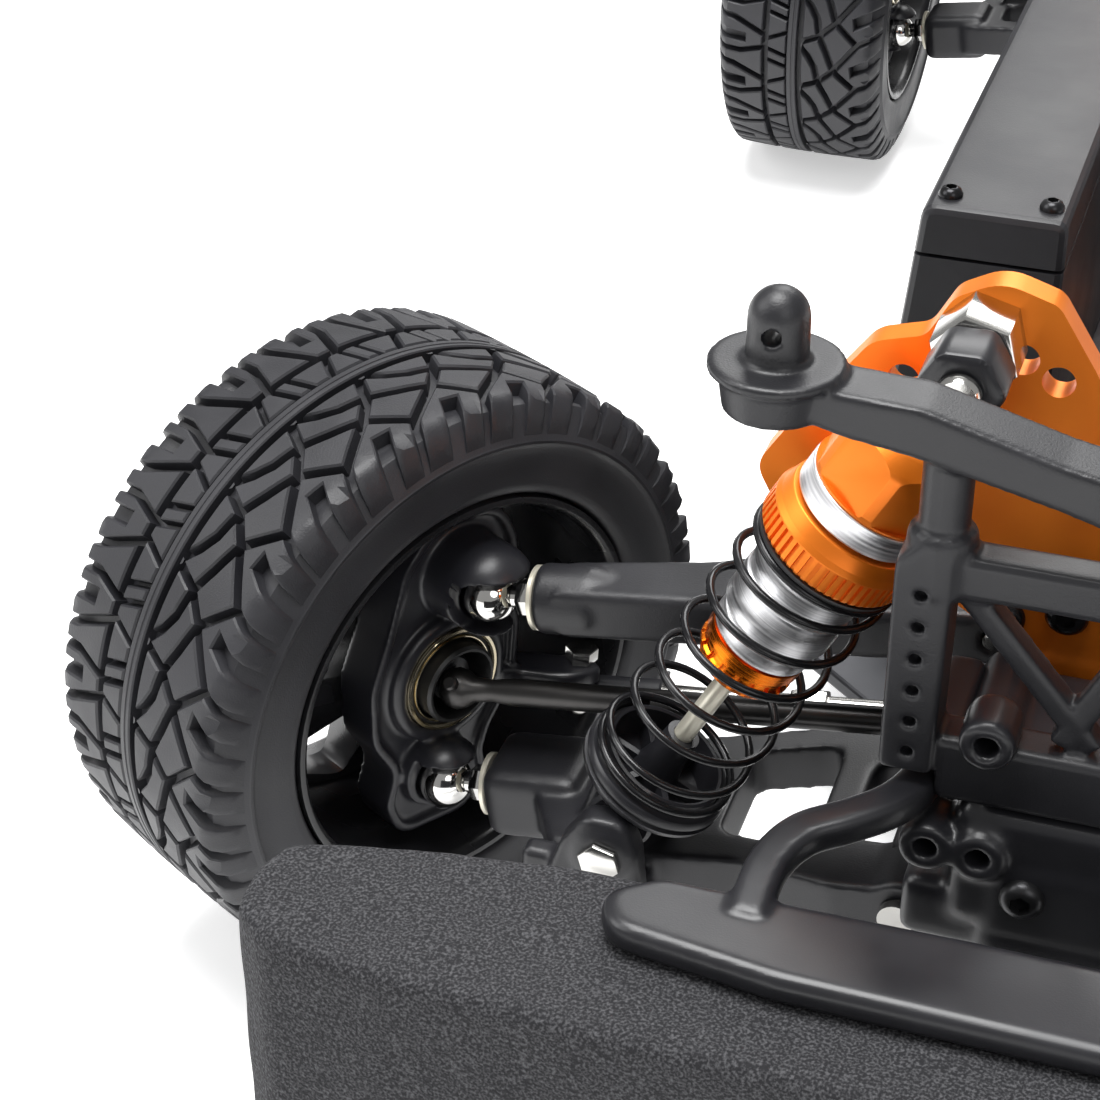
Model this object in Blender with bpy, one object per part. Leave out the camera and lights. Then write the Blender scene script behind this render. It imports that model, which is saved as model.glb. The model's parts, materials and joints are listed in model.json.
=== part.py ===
"""Chassis of a four-wheel-drive remote-control drift car, without its body shell.

The car's frame: +Z up, the car drives towards -Y, its left side is +X, and the origin is on the
ground under the middle of the wheelbase. Shapes are drawn in millimetres and every frame below
scales them to metres.

Each corner of the car is drawn once, in its own axes, and mirrored to the other three:
u runs inwards from the kingpin, v towards the middle of the car and w upwards, all from the point K
where the kingpin meets the axle. The front wheels stand steered to the car's right.
"""

import math
from collections import namedtuple

import bmesh
import bpy
from mathutils import Matrix, Vector

MM = 0.001
GAP = 0.3

# Overall layout
WHEELBASE = 340.0
KINGPIN_X = 108.5
AXLE_Z = 50.0
STEER = math.radians(-30.5)
FRONT_CAMBER = math.radians(5.2)
REAR_CAMBER = math.radians(1.5)

# Wheels, along the axle from K
WHEEL_OFFSET = -19.2
TYRE_RADIUS = 50.0
TYRE_HALF_WIDTH = 21.0
RIM_RADIUS = 33.0
RIM_WALL = 1.8
WHEEL_SEGMENTS = 20
SPOKES = 5
FIRST_WINDOW = math.radians(-106)

# Suspension: both arms have the same span, so the knuckle keeps its angle
ARM_SPAN = Vector((77.0, 0.0, 10.8))
UPPER_BALL = Vector((3.3, 2.0, 17.1))
LOWER_BALL = -UPPER_BALL
BALL_RADIUS = 4.4
CAVITY_RADIUS = 5.3
SOCKET_RADIUS = 7.8
LOWER_HINGE = LOWER_BALL + ARM_SPAN
UPPER_HINGE = UPPER_BALL + ARM_SPAN
OUTDRIVE = ARM_SPAN.copy()
LOWER_EYES = ((-23.5, -12.0), (7.0, 17.0))
UPPER_EYES = ((-2.0, 4.7), (13.3, 20.0))
PIN_RADIUS = 1.5
EYE_BORE = 1.85

# Shock absorbers
SHOCK_V = -20.6
SHOCK_FOOT = Vector((32.5, SHOCK_V, 0.5))
SHOCK_HEAD = Vector((75.4, SHOCK_V, 79.1))
SPRING_RADIUS = 10.35
SPRING_WIRE = 1.0
SPRING_TURNS = 6.5
SPRING_ENDS = (14.4, 56.6)
CUP_RADIUS = 11.4
TOWER_V = (-7.9, -3.4)

# Steering: knuckle arms, bellcranks and servo horn all have this radius
STEER_RADIUS = 24.0
STEER_ARM_W = -5.0
TIE_ROD_W = -11.0
STEER_PIN = 1.2
TIE_ROD_BORE = 2.7
BELLCRANK = Vector((16.0, -132.0, 50.0))
PLATE_Z = (52.2, 55.0)
HORN = Vector((30.0, -98.5, 41.3))

# Chassis and drivetrain
PLATE_TOP = 31.0
PLATE_THICK = 3.0
SHAFT_Z = AXLE_Z + ARM_SPAN.z
SPUR_RADIUS = 22.0
PINION_RADIUS = 7.0
SPUR_Y = (14.0, 19.0)
MOTOR_X = 27.5
MOTOR_RADIUS = 18.0
BODY_POST_V = -40.0
HALF_LENGTH = 262.0

BLACK_PLASTIC = ((0.018, 0.018, 0.020), 0.45, 0.0)
RUBBER = ((0.030, 0.030, 0.032), 0.75, 0.0)
ORANGE = ((0.85, 0.20, 0.02), 0.30, 0.9)
STEEL = ((0.62, 0.61, 0.58), 0.28, 1.0)
SILVER = ((0.75, 0.75, 0.76), 0.25, 1.0)
DARK_STEEL = ((0.04, 0.04, 0.045), 0.35, 0.8)
FOAM = ((0.045, 0.045, 0.050), 0.95, 0.0)
GEAR = ((0.10, 0.10, 0.10), 0.40, 0.0)
BATTERY = ((0.05, 0.08, 0.16), 0.45, 0.0)

Corner = namedtuple("Corner", "name sx sy frame")


# --- Frames -------------------------------------------------------------------------------------


def axes(origin, x, y, z):
    """A frame whose axes are x, y and z, each a vector, at origin."""
    matrix = Matrix((x, y, z)).transposed().to_4x4()
    matrix.translation = Vector(origin)
    return matrix


def corner(name, sx, sy):
    """sx is +1 on the car's left and -1 on its right, sy is +1 at the rear and -1 at the front."""
    half = WHEELBASE / 2
    frame = axes((sx * KINGPIN_X, sy * half, AXLE_Z), (-sx, 0, 0), (0, -sy, 0), (0, 0, 1))
    return Corner(name, sx, sy, Matrix.Scale(MM, 4) @ frame)


CAR = Matrix.Scale(MM, 4)
CORNERS = (
    corner("front_right", -1, -1),
    corner("front_left", 1, -1),
    corner("rear_right", -1, 1),
    corner("rear_left", 1, 1),
)


def camber_of(place):
    """The wheel's lean about the car's Y axis, as a rotation."""
    angle = FRONT_CAMBER if place.sy < 0 else REAR_CAMBER
    return Matrix.Rotation(-place.sx * angle, 4, "Y")


def wheel_frame(place):
    """The wheel's own axes at K: inwards along the axle, towards the car's middle, and up."""
    mirror = Matrix.Diagonal((-place.sx, -place.sy, 1, 1))
    return Matrix.Scale(MM, 4) @ mirror


def in_wheel_axes(place, point):
    """A point given in the corner's axes, in the axes of the straight wheel."""
    mirror = Matrix.Diagonal((-place.sx, -place.sy, 1, 1))
    return mirror.inverted() @ camber_of(place).inverted() @ mirror @ point


def arm_frame(place, end):
    """Axes of a suspension arm: x from the ball at its end to its hinge, y along v, z square to both."""
    x = ARM_SPAN.normalized()
    y = Vector((0, 1, 0))
    return place.frame @ axes((end.x, 0, end.z), x, y, x.cross(y))


def shock_frame(place):
    """Axes of a shock absorber: x from its foot to its head."""
    x = (SHOCK_HEAD - SHOCK_FOOT).normalized()
    y = Vector((0, 1, 0))
    return place.frame @ axes(SHOCK_FOOT, x, y, x.cross(y))


def upright(frame):
    """Axes for an outline drawn across the car: x stays, y is the frame's z and z is its y."""
    return frame @ axes((0, 0, 0), (1, 0, 0), (0, 0, 1), (0, 1, 0))


# --- Shapes: each returns a bmesh holding one closed body ------------------------------------------


def finished(bm):
    bmesh.ops.recalc_face_normals(bm, faces=bm.faces)
    return bm


def turned(profile, segments, frame):
    """A body of revolution about the frame's X axis, from (along, radius) points."""
    bm = bmesh.new()
    rings = []
    for along, radius in profile:
        count = segments if radius else 1
        turns = [math.tau * i / segments for i in range(count)]
        points = [(along, radius * math.cos(t), radius * math.sin(t)) for t in turns]
        rings.append([bm.verts.new(frame @ Vector(point)) for point in points])
    for near, far in zip(rings, rings[1:] + rings[:1]):
        if len(near) == len(far) == 1:
            continue
        for i in range(segments):
            corners = [near[i % len(near)], near[(i + 1) % len(near)]]
            corners += [far[(i + 1) % len(far)], far[i % len(far)]]
            bm.faces.new(dict.fromkeys(corners))
    return finished(bm)


def rod(start, end, radius, frame, segments=8):
    start = Vector(start)
    along = Vector(end) - start
    x = along.normalized()
    side = x.orthogonal().normalized()
    place = frame @ axes(start, x, side, x.cross(side))
    return turned(((0, 0), (0, radius), (along.length, radius), (along.length, 0)), segments, place)


def ball(centre, radius, frame, segments=8):
    """A sphere of flat faces, its poles on the frame's X axis."""
    steps = segments // 2
    angles = [math.pi * i / steps for i in range(steps + 1)]
    arc = [(-radius * math.cos(a), radius * math.sin(a) if 0 < a < math.pi else 0) for a in angles]
    arc[-1] = (radius, 0)
    return turned(arc, segments, frame @ Matrix.Translation(Vector(centre)))


def prism(outline, low, high, frame):
    """An outline of (x, y) points, extruded along the frame's z."""
    bm = bmesh.new()
    ends = [[bm.verts.new(frame @ Vector((x, y, z))) for x, y in outline] for z in (low, high)]
    for cap in ends:
        bm.faces.new(cap)
    for i in range(len(outline)):
        j = (i + 1) % len(outline)
        bm.faces.new((ends[0][i], ends[0][j], ends[1][j], ends[1][i]))
    return finished(bm)


def block(low, high, frame):
    outline = ((low[0], low[1]), (high[0], low[1]), (high[0], high[1]), (low[0], high[1]))
    return prism(outline, low[2], high[2], frame)


def mirrored(half):
    """An outline symmetric in x, from the points of its +x half in order."""
    return half + [(-x, y) for x, y in reversed(half) if x]


def bar(path, width, height, frame):
    """A bar of rectangular section along a path, its height along z."""
    bm = bmesh.new()
    points = [Vector(point) for point in path]
    rings = []
    for i, point in enumerate(points):
        along = points[min(i + 1, len(points) - 1)] - points[max(i - 1, 0)]
        side = along.cross(Vector((0, 0, 1))).normalized() * width / 2
        up = Vector((0, 0, height / 2))
        section = (side + up, side - up, -side - up, -side + up)
        rings.append([bm.verts.new(frame @ (point + corner_of)) for corner_of in section])
    for near, far in zip(rings, rings[1:]):
        for i in range(4):
            bm.faces.new((near[i], near[(i + 1) % 4], far[(i + 1) % 4], far[i]))
    bm.faces.new(rings[0])
    bm.faces.new(rings[-1])
    return finished(bm)


def coil(radius, wire, turns, ends, frame, steps=7, sides=3):
    """A helical spring about the frame's X axis."""
    bm = bmesh.new()
    rings = []
    count = round(turns * steps)
    for i in range(count + 1):
        angle = math.tau * i / steps
        out = Vector((0, math.cos(angle), math.sin(angle)))
        centre = out * radius + Vector((ends[0] + (ends[1] - ends[0]) * i / count, 0, 0))
        ring = []
        for side in range(sides):
            turn = math.tau * side / sides
            offset = out * math.cos(turn) + Vector((math.sin(turn), 0, 0))
            ring.append(bm.verts.new(frame @ (centre + offset * wire)))
        rings.append(ring)
    for near, far in zip(rings, rings[1:]):
        for i in range(sides):
            bm.faces.new((near[i], near[(i + 1) % sides], far[(i + 1) % sides], far[i]))
    bm.faces.new(rings[0])
    bm.faces.new(rings[-1])
    return finished(bm)


# --- Objects ----------------------------------------------------------------------------------------


def clear_scene():
    for obj in list(bpy.data.objects):
        bpy.data.objects.remove(obj)


def material_of(name, finish):
    colour, roughness, metallic = finish
    material = bpy.data.materials.new(name)
    material.use_nodes = True
    shader = material.node_tree.nodes["Principled BSDF"]
    shader.inputs["Base Color"].default_value = (*colour, 1)
    shader.inputs["Roughness"].default_value = roughness
    shader.inputs["Metallic"].default_value = metallic
    return material


def object_of(name, bm, origin, parent):
    bm.transform(Matrix.Translation(-origin))
    mesh = bpy.data.meshes.new(name)
    bm.to_mesh(mesh)
    bm.free()
    mesh.shade_smooth()
    mesh.set_sharp_from_angle(angle=math.radians(35))
    obj = bpy.data.objects.new(name, mesh)
    obj.location = origin
    obj.parent = parent
    bpy.context.scene.collection.objects.link(obj)
    return obj


def helper_of(name, bm, origin, parent):
    helper = object_of(name, bm, origin, parent)
    helper.hide_render = True
    helper.display_type = "WIRE"
    return helper


def solid(name, finish, shapes, cuts=(), origin=Vector(), parent=None):
    """One closed body: the union of the shapes, less the cuts, with its origin on its joint."""
    obj = object_of(name, shapes[0], origin, parent)
    obj.data.materials.append(material_of(name, finish))
    operands = [("UNION", shape) for shape in shapes[1:]] + [("DIFFERENCE", cut) for cut in cuts]
    for number, (operation, shape) in enumerate(operands):
        modifier = obj.modifiers.new(f"{operation.lower()}_{number}", "BOOLEAN")
        modifier.operation = operation
        modifier.solver = "EXACT"
        modifier.object = helper_of(f"{name}_{operation.lower()}_{number}", shape, origin, parent)
    return obj


def steering_empty(place):
    """The joint on the kingpin that carries the knuckle and the wheel, turned to the rest pose."""
    empty = bpy.data.objects.new(f"{place.name}_kingpin", None)
    bpy.context.scene.collection.objects.link(empty)
    turn = camber_of(place)
    if place.sy < 0:
        kingpin = place.frame.to_3x3() @ (UPPER_BALL - LOWER_BALL)
        turn = Matrix.Rotation(STEER, 4, kingpin) @ turn
    empty.matrix_world = Matrix.Translation(place.frame.translation) @ turn
    return empty


# --- The pieces of one corner -------------------------------------------------------------------------


def pivot_ball(place):
    centre = place.frame @ LOWER_BALL
    shape = ball(LOWER_BALL, BALL_RADIUS, place.frame)
    solid(f"{place.name}_pivot_ball", STEEL, [shape], origin=centre)


def lower_arm(place):
    """An A-shaped arm with a neck for the ball, two hinge eyes and two ears for the shock."""
    frame = arm_frame(place, LOWER_BALL)
    across = upright(place.frame)
    span = ARM_SPAN.length
    plan = [(20, -9), (25, -19), (52, -19.5), (68, -23.5), (span, -23.5), (span, -12), (68, -12)]
    plan += [(68, 7), (span, 7), (span, 17), (68, 17), (40, 9), (20, 6)]
    ball_v = LOWER_BALL.y
    rear = place.sy > 0
    shapes = [
        prism(plan, -3.5, 3.5, frame),
        block((8.5, -9, -6), (24, 6, 6), frame),
        rod((0 if rear else BALL_RADIUS + 0.5, ball_v, 0), (10, ball_v, 0), 2.2, frame, 6),
    ]
    if rear:
        shapes.append(ball(LOWER_BALL, BALL_RADIUS, place.frame))
    for low, high in LOWER_EYES:
        shapes.append(rod((span, low, 0), (span, high, 0), 4.8, frame))
    front_ear = ((22, -13), (38, -10), (37, 0), (34.5, 5.5), (30.5, 5.5), (26, 0))
    rear_ear = ((26, -12), (40, -10), (36, 4), (34.5, 5.5), (30.5, 5.5), (29, 4))
    shapes.append(prism(front_ear, -33, -28.5, across))
    shapes.append(prism(rear_ear, -13, -9.5, across))
    shapes.append(block((26, -33, -3.3), (40, -14, 2.2), frame))
    shapes.append(rod((32.5, -34.5, 0.5), (32.5, -10, 0.5), PIN_RADIUS, place.frame, 6))
    windows = [
        prism(((49, -14), (63, -16), (63, 12), (49, 8)), -10, 10, frame),
        prism(((30, -8), (44, -11), (44, 5), (30, 2)), -10, 10, frame),
    ]
    bores = [rod((span, low - 1, 0), (span, high + 1, 0), EYE_BORE, frame, 6) for low, high in LOWER_EYES]
    solid(f"{place.name}_lower_arm", BLACK_PLASTIC, shapes, windows + bores, place.frame @ LOWER_HINGE)


def upper_arm(place):
    """A tapered arm with its ball at one end and a forked hinge at the other."""
    frame = arm_frame(place, UPPER_BALL)
    span = ARM_SPAN.length
    ball_v = UPPER_BALL.y
    plan = [(8.5, -2.5), (66, -2), (span, -2), (span, 4.7), (68, 4.7)]
    plan += [(68, 13.3), (span, 13.3), (span, 20), (60, 18), (30, 8), (8.5, 6.5)]
    shapes = [
        prism(plan, -3.8, 3.8, frame),
        rod((2, ball_v, 0), (10, ball_v, 0), 2.2, frame, 6),
        rod((8.2, ball_v, 0), (16, ball_v, 0), 5.4, frame),
        ball(UPPER_BALL, BALL_RADIUS, place.frame),
    ]
    for low, high in UPPER_EYES:
        shapes.append(rod((span, low, 0), (span, high, 0), 4.4, frame))
    bores = [rod((span, low - 1, 0), (span, high + 1, 0), EYE_BORE, frame, 6) for low, high in UPPER_EYES]
    solid(f"{place.name}_upper_arm", BLACK_PLASTIC, shapes, bores, place.frame @ UPPER_HINGE)


def knuckle(place, empty):
    """The upright: a bearing boss between two ball sockets, and the front ones' steering arm."""
    frame = wheel_frame(place)
    across = frame @ axes((0, 0, 0), (0, 1, 0), (0, 0, 1), (1, 0, 0))
    upper = in_wheel_axes(place, UPPER_BALL)
    lower = in_wheel_axes(place, LOWER_BALL)
    outline = [(-8, -19), (-11, -8), (-12, 0), (-11, 8), (-6, 22)]
    outline += [(8, 24), (12, 8), (13, 0), (11, -9), (5, -21)]
    shapes = [
        prism(outline, -12.5, -5.5, across),
        rod((-14, 0, 0), (-3.9, 0, 0), 10.5, frame, 12),
        rod((-12, upper.y, upper.z), (upper.x - 3, upper.y, upper.z), 6.4, frame),
        ball(upper, SOCKET_RADIUS, frame, 10),
        ball(lower, SOCKET_RADIUS, frame, 10),
    ]
    if place.sy < 0:
        outer = in_wheel_axes(place, Vector((0, STEER_RADIUS, STEER_ARM_W)))
        shapes.append(bar(((-8, 8, -4), (-6, 15, -5), outer + Vector((0, 1, 0))), 7, 3.5, frame))
        shapes.append(rod(outer, outer - Vector((0, 0, 12)), STEER_PIN, frame))
    mouth = ((0, 0), (10, 25), (10, 0))
    cuts = [
        rod((-20, 0, 0), (2, 0, 0), 4.8, frame),
        ball(upper, CAVITY_RADIUS, frame),
        ball(lower, CAVITY_RADIUS, frame),
        turned(mouth, 8, frame @ Matrix.Translation(upper)),
        turned(mouth, 8, frame @ Matrix.Translation(lower)),
    ]
    solid(f"{place.name}_knuckle", BLACK_PLASTIC, shapes, cuts, parent=empty)


def rim(place, empty):
    """A deep-dish rim with its hub and stub axle, and windows between its spokes."""
    frame = wheel_frame(place) @ Matrix.Translation((WHEEL_OFFSET, 0, 0))
    inner = RIM_RADIUS - RIM_WALL
    profile = [(15.4, 0), (15.4, 4), (4.8, 4), (4.8, 9.5), (-9, inner), (20, inner)]
    profile += [(20, RIM_RADIUS), (-20, RIM_RADIUS), (-20, inner), (-15, inner), (-12, 0)]
    across = frame @ axes((0, 0, 0), (0, 1, 0), (0, 0, 1), (1, 0, 0))
    windows = []
    for spoke in range(SPOKES):
        turn = Matrix.Rotation(FIRST_WINDOW + math.tau * spoke / SPOKES, 4, "Z")
        outline = ((13, -4.5), (28, -10.5), (28, 10.5), (13, 4.5))
        windows.append(prism(outline, -22, 3, across @ turn))
    solid(f"{place.name}_rim", BLACK_PLASTIC, [turned(profile, WHEEL_SEGMENTS, frame)], windows, parent=empty)


def tyre(place, empty):
    """A hollow on-road tyre, open towards the rim between its beads."""
    frame = wheel_frame(place) @ Matrix.Translation((WHEEL_OFFSET, 0, 0))
    bead = RIM_RADIUS + GAP
    half = TYRE_HALF_WIDTH
    outside = [(18.5, bead), (half - 0.2, 36), (half, 45.5), (17, 49.6)]
    profile = outside + [(0, TYRE_RADIUS)] + [(-x, r) for x, r in reversed(outside)]
    profile += [(-15, 45.5), (15, 45.5)]
    solid(f"{place.name}_tyre", RUBBER, [turned(profile, WHEEL_SEGMENTS, frame)], parent=empty)


def drive_shaft(place):
    shapes = [
        rod((0, 0, 0), ARM_SPAN, 2.2, place.frame, 6),
        ball((0, 0, 0), 3.2, place.frame),
        ball(ARM_SPAN, 3.4, place.frame),
    ]
    solid(f"{place.name}_drive_shaft", DARK_STEEL, shapes, origin=place.frame @ OUTDRIVE)


def shock_absorber(place):
    """Body, rod with its spring cup, and spring. The body hangs from the tower by its head."""
    frame = shock_frame(place)
    length = (SHOCK_HEAD - SHOCK_FOOT).length
    body = [(62, 0), (62, 2), (32, 2), (32, 7.2), (38.5, 8), (58, 8), (58, 10.9), (66, 10.9)]
    body += [(68, 9.9), (78, 9.9), (80, 4.5), (86, 4.5), (86, 0)]
    head = rod((length, -4, 0), (length, 4, 0), 5.2, frame)
    bore = rod((length, -6, 0), (length, 6, 0), 2.1, frame, 6)
    solid(
        f"{place.name}_shock_body",
        ORANGE,
        [turned(body, 12, frame), head],
        [bore],
        place.frame @ SHOCK_HEAD,
    )
    stem = [(2, 0), (2, 3.4), (6, 3.4), (6, CUP_RADIUS), (13, CUP_RADIUS), (13, 9.2), (9, 9.2)]
    stem += [(9, 1.6), (52, 1.6), (52, 0)]
    foot = rod((0, -4, 0), (0, 4, 0), 4.6, frame)
    eye = rod((0, -6, 0), (0, 6, 0), 2.8, frame, 6)
    solid(
        f"{place.name}_shock_rod",
        STEEL,
        [turned(stem, 12, frame), foot],
        [eye],
        place.frame @ SHOCK_FOOT,
    )
    spring = coil(SPRING_RADIUS, SPRING_WIRE, SPRING_TURNS, SPRING_ENDS, frame)
    solid(f"{place.name}_spring", DARK_STEEL, [spring], origin=place.frame @ SHOCK_FOOT)


def tie_rod(place):
    """A front track rod: an eye under the knuckle's arm and one under the steering plate.

    Its outer eye sits where the pin of the leaning knuckle crosses it, at the middle of the lock.
    """
    side = "left" if place.sx > 0 else "right"
    slide = place.sx * STEER_RADIUS * math.sin(STEER)
    parallel = Vector((slide, STEER_RADIUS * math.cos(STEER), TIE_ROD_W))
    outer = parallel - Vector((0.9, 0, 0))
    inner = parallel + ARM_SPAN
    shapes = [rod(outer, inner, 1.5, place.frame, 6)]
    bores = []
    for end in (outer, inner):
        shapes.append(rod(end - Vector((0, 0, 1.7)), end + Vector((0, 0, 1.7)), 3.7, place.frame, 10))
        bores.append(rod(end - Vector((0, 0, 4)), end + Vector((0, 0, 4)), TIE_ROD_BORE, place.frame))
    solid(f"tie_rod_{side}", STEEL, shapes, bores, place.frame @ inner)


# --- The pieces at each end of the car --------------------------------------------------------------


def end_frame(sy):
    """Axes at one end of the car: x across, y is v and z is the height over the ground."""
    return CAR @ axes((0, sy * WHEELBASE / 2, 0), (1, 0, 0), (0, -sy, 0), (0, 0, 1))


def both_sides(u, v, w):
    """The two places of a corner point, in the axes of end_frame."""
    return [Vector((side * (KINGPIN_X - u), v, AXLE_Z + w)) for side in (-1, 1)]


def gear_case(sy, name):
    """The differential's case, with the suspension hinge pins and the outdrive cups."""
    frame = end_frame(sy)
    floor = PLATE_TOP + GAP
    shapes = [
        block((-22, -44, floor), (22, 15.5, 74), frame),
        block((-21, TOWER_V[1] + GAP, 60), (21, 15, 93), frame),
        block((-26, -43.5, 61), (26, TOWER_V[0] - GAP, 80), frame),
    ]
    lug = (LOWER_EYES[0][1] + GAP, LOWER_EYES[1][0] - GAP)
    upper_lug = (UPPER_EYES[0][1] + GAP, UPPER_EYES[1][0] - GAP)
    for side in (-1, 1):
        lower_x = side * (KINGPIN_X - LOWER_HINGE.x)
        upper_x = side * (KINGPIN_X - UPPER_HINGE.x)
        lower_z = AXLE_Z + LOWER_HINGE.z
        upper_z = AXLE_Z + UPPER_HINGE.z
        xs = sorted((side * 20, lower_x + side * 4))
        shapes.append(block((xs[0], lug[0], lower_z - 5), (xs[1], lug[1], lower_z + 5), frame))
        xs = sorted((side * 20, upper_x + side * 4))
        shapes.append(block((xs[0], upper_lug[0], upper_z - 4), (xs[1], upper_lug[1], upper_z + 4), frame))
        shapes.append(rod((lower_x, -25, lower_z), (lower_x, 18.5, lower_z), PIN_RADIUS, frame, 6))
        shapes.append(rod((upper_x, -2.8, upper_z), (upper_x, 22, upper_z), PIN_RADIUS, frame, 6))
        shapes.append(rod((side * 20, 0, SHAFT_Z), (side * 34.5, 0, SHAFT_Z), 6.8, frame, 10))
    cuts = []
    for side in (-1, 1):
        cuts.append(rod((side * 24, 0, SHAFT_Z), (side * 36, 0, SHAFT_Z), 5.0, frame, 10))
    if sy > 0:
        shapes += rear_bumper(frame)
    solid(name, BLACK_PLASTIC, shapes, cuts)


def rear_bumper(frame):
    """The rear guard that the rear case carries: two arms and a beam."""
    reach = WHEELBASE / 2 - HALF_LENGTH
    beam = mirrored([(62, -78), (40, reach)])
    back = mirrored([(40, reach + 9), (58, -70)])
    shapes = [prism(beam + back[2:] + back[:2], 44, 62, frame)]
    for side in (-1, 1):
        path = ((side * 16, -40, 53), (side * 26, -60, 53), (side * 34, reach + 6, 53))
        shapes.append(bar(path, 8, 8, frame))
    return shapes


def shock_tower(sy, name):
    """The upright plate that carries the shocks' heads, with a spacer and a bolt for each."""
    frame = end_frame(sy)
    across = upright(frame)
    half = [(10, 114), (17, 124), (25, 134), (31, 136.5), (37, 133), (40, 127.5)]
    half += [(47, 126), (56, 113), (62, 104), (58, 96), (46, 96), (29, 85), (20, 75)]
    shapes = [prism(mirrored(half), TOWER_V[0], TOWER_V[1], across)]
    cuts = []
    for head in both_sides(SHOCK_HEAD.x, 0, SHOCK_HEAD.z):
        shapes.append(rod((head.x, -9, head.z), (head.x, -26.2, head.z), 1.6, frame, 6))
        shapes.append(rod((head.x, TOWER_V[0] + 1, head.z), (head.x, -16.2, head.z), 3.4, frame, 6))
        shapes.append(rod((head.x, -25.2, head.z), (head.x, -27, head.z), 3, frame))
    for u, w in ((65.4, 70.6), (80.7, 76.0), (85.6, 73.5)):
        for hole in both_sides(u, 0, w):
            cuts.append(rod((hole.x, -10, hole.z), (hole.x, 0, hole.z), 2, frame, 6))
    solid(name, ORANGE, shapes, cuts)


def body_mount(sy, name):
    """A cross beam on two pierced columns, with a flanged body post at each end."""
    frame = end_frame(sy)
    across = upright(frame)
    v = BODY_POST_V
    half = [(0, 128), (30, 136), (44, 138), (52, 138), (52, 133.5), (44, 131), (30, 129.5), (0, 121)]
    shapes = [prism(mirrored(half), v - 4, v + 4, across)]
    cuts = []
    for post in both_sides(55.6, v, 0):
        shapes.append(rod((post.x, v, 133), (post.x, v, 138.4), 8.8, frame, 12))
        profile = ((134, 0), (134, 4.4), (144.5, 4.4), (147, 3.2), (148, 0))
        stand = frame @ axes((post.x, v, 0), (0, 0, 1), (1, 0, 0), (0, 1, 0))
        shapes.append(turned(profile, 10, stand))
        cuts.append(rod((post.x, v - 9, 142.5), (post.x, v + 9, 142.5), 1.1, frame, 6))
    for column in both_sides(77.3, v, 0):
        shapes.append(rod((column.x, v, 112), (column.x, v, 131), 2.9, frame))
        shapes.append(block((column.x - 4, v - 4, 84.2), (column.x + 4, v + 4, 118), frame))
    shapes.append(block((-30, v - 2.5, 111), (30, v + 2.5, 117), frame))
    shapes.append(block((-29, v - 3, 80 + GAP), (29, v + 3, 90), frame))
    solid(name, BLACK_PLASTIC, shapes, cuts)


def bumper_foam():
    frame = end_frame(-1)
    reach = WHEELBASE / 2 - HALF_LENGTH
    half = [(0, reach), (60, reach + 0.6), (88, reach + 2), (103, reach + 4), (108.6, -83), (109, -76), (107.2, -69.5)]
    half += [(99, -67), (86, -64.4), (73, -62.6), (60, -62), (0, -62)]
    solid("front_bumper_foam", FOAM, [prism(mirrored(half), 38, 74, frame)])


def bumper_brace():
    """Two bent bars from the front case to a plate on the foam."""
    frame = end_frame(-1)
    shapes = [prism(mirrored([(66, -79), (58, -66)]), 74.3, 78.5, frame)]
    bend = ((77.5, -15, 30.8), (77.1, -32, 30.4), (69.3, -45, 30.6), (62.5, -59, 28.5), (60.6, -69, 27.3))
    for side in (-1, 1):
        path = [(side * (KINGPIN_X - u), v, AXLE_Z + w) for u, v, w in bend]
        shapes.append(bar(path, 6.5, 5, frame))
    solid("front_bumper_brace", BLACK_PLASTIC, shapes)


# --- Steering -----------------------------------------------------------------------------------------


def tip_shift():
    """How far a steering arm's tip has moved from straight ahead, as drawn."""
    return Vector((-math.sin(STEER), math.cos(STEER) - 1, 0)) * STEER_RADIUS


def bellcrank(side, name):
    pivot = Vector((side * BELLCRANK.x, BELLCRANK.y, BELLCRANK.z))
    tip = pivot + Vector((0, STEER_RADIUS, 0)) + tip_shift()
    shapes = [
        rod(pivot - Vector((0, 0, 6)), pivot + Vector((0, 0, 1.5)), 5, CAR, 12),
        bar((pivot, tip), 6, 2.4, CAR),
        rod(tip - Vector((0, 0, 1.4)), tip + Vector((0, 0, 1.4)), 4.2, CAR),
        rod(tip, tip + Vector((0, 0, 6.5)), 1.5, CAR),
    ]
    bore = rod(pivot - Vector((0, 0, 9)), pivot + Vector((0, 0, 5)), 2.4, CAR)
    solid(name, BLACK_PLASTIC, shapes, [bore], pivot * MM)


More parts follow.
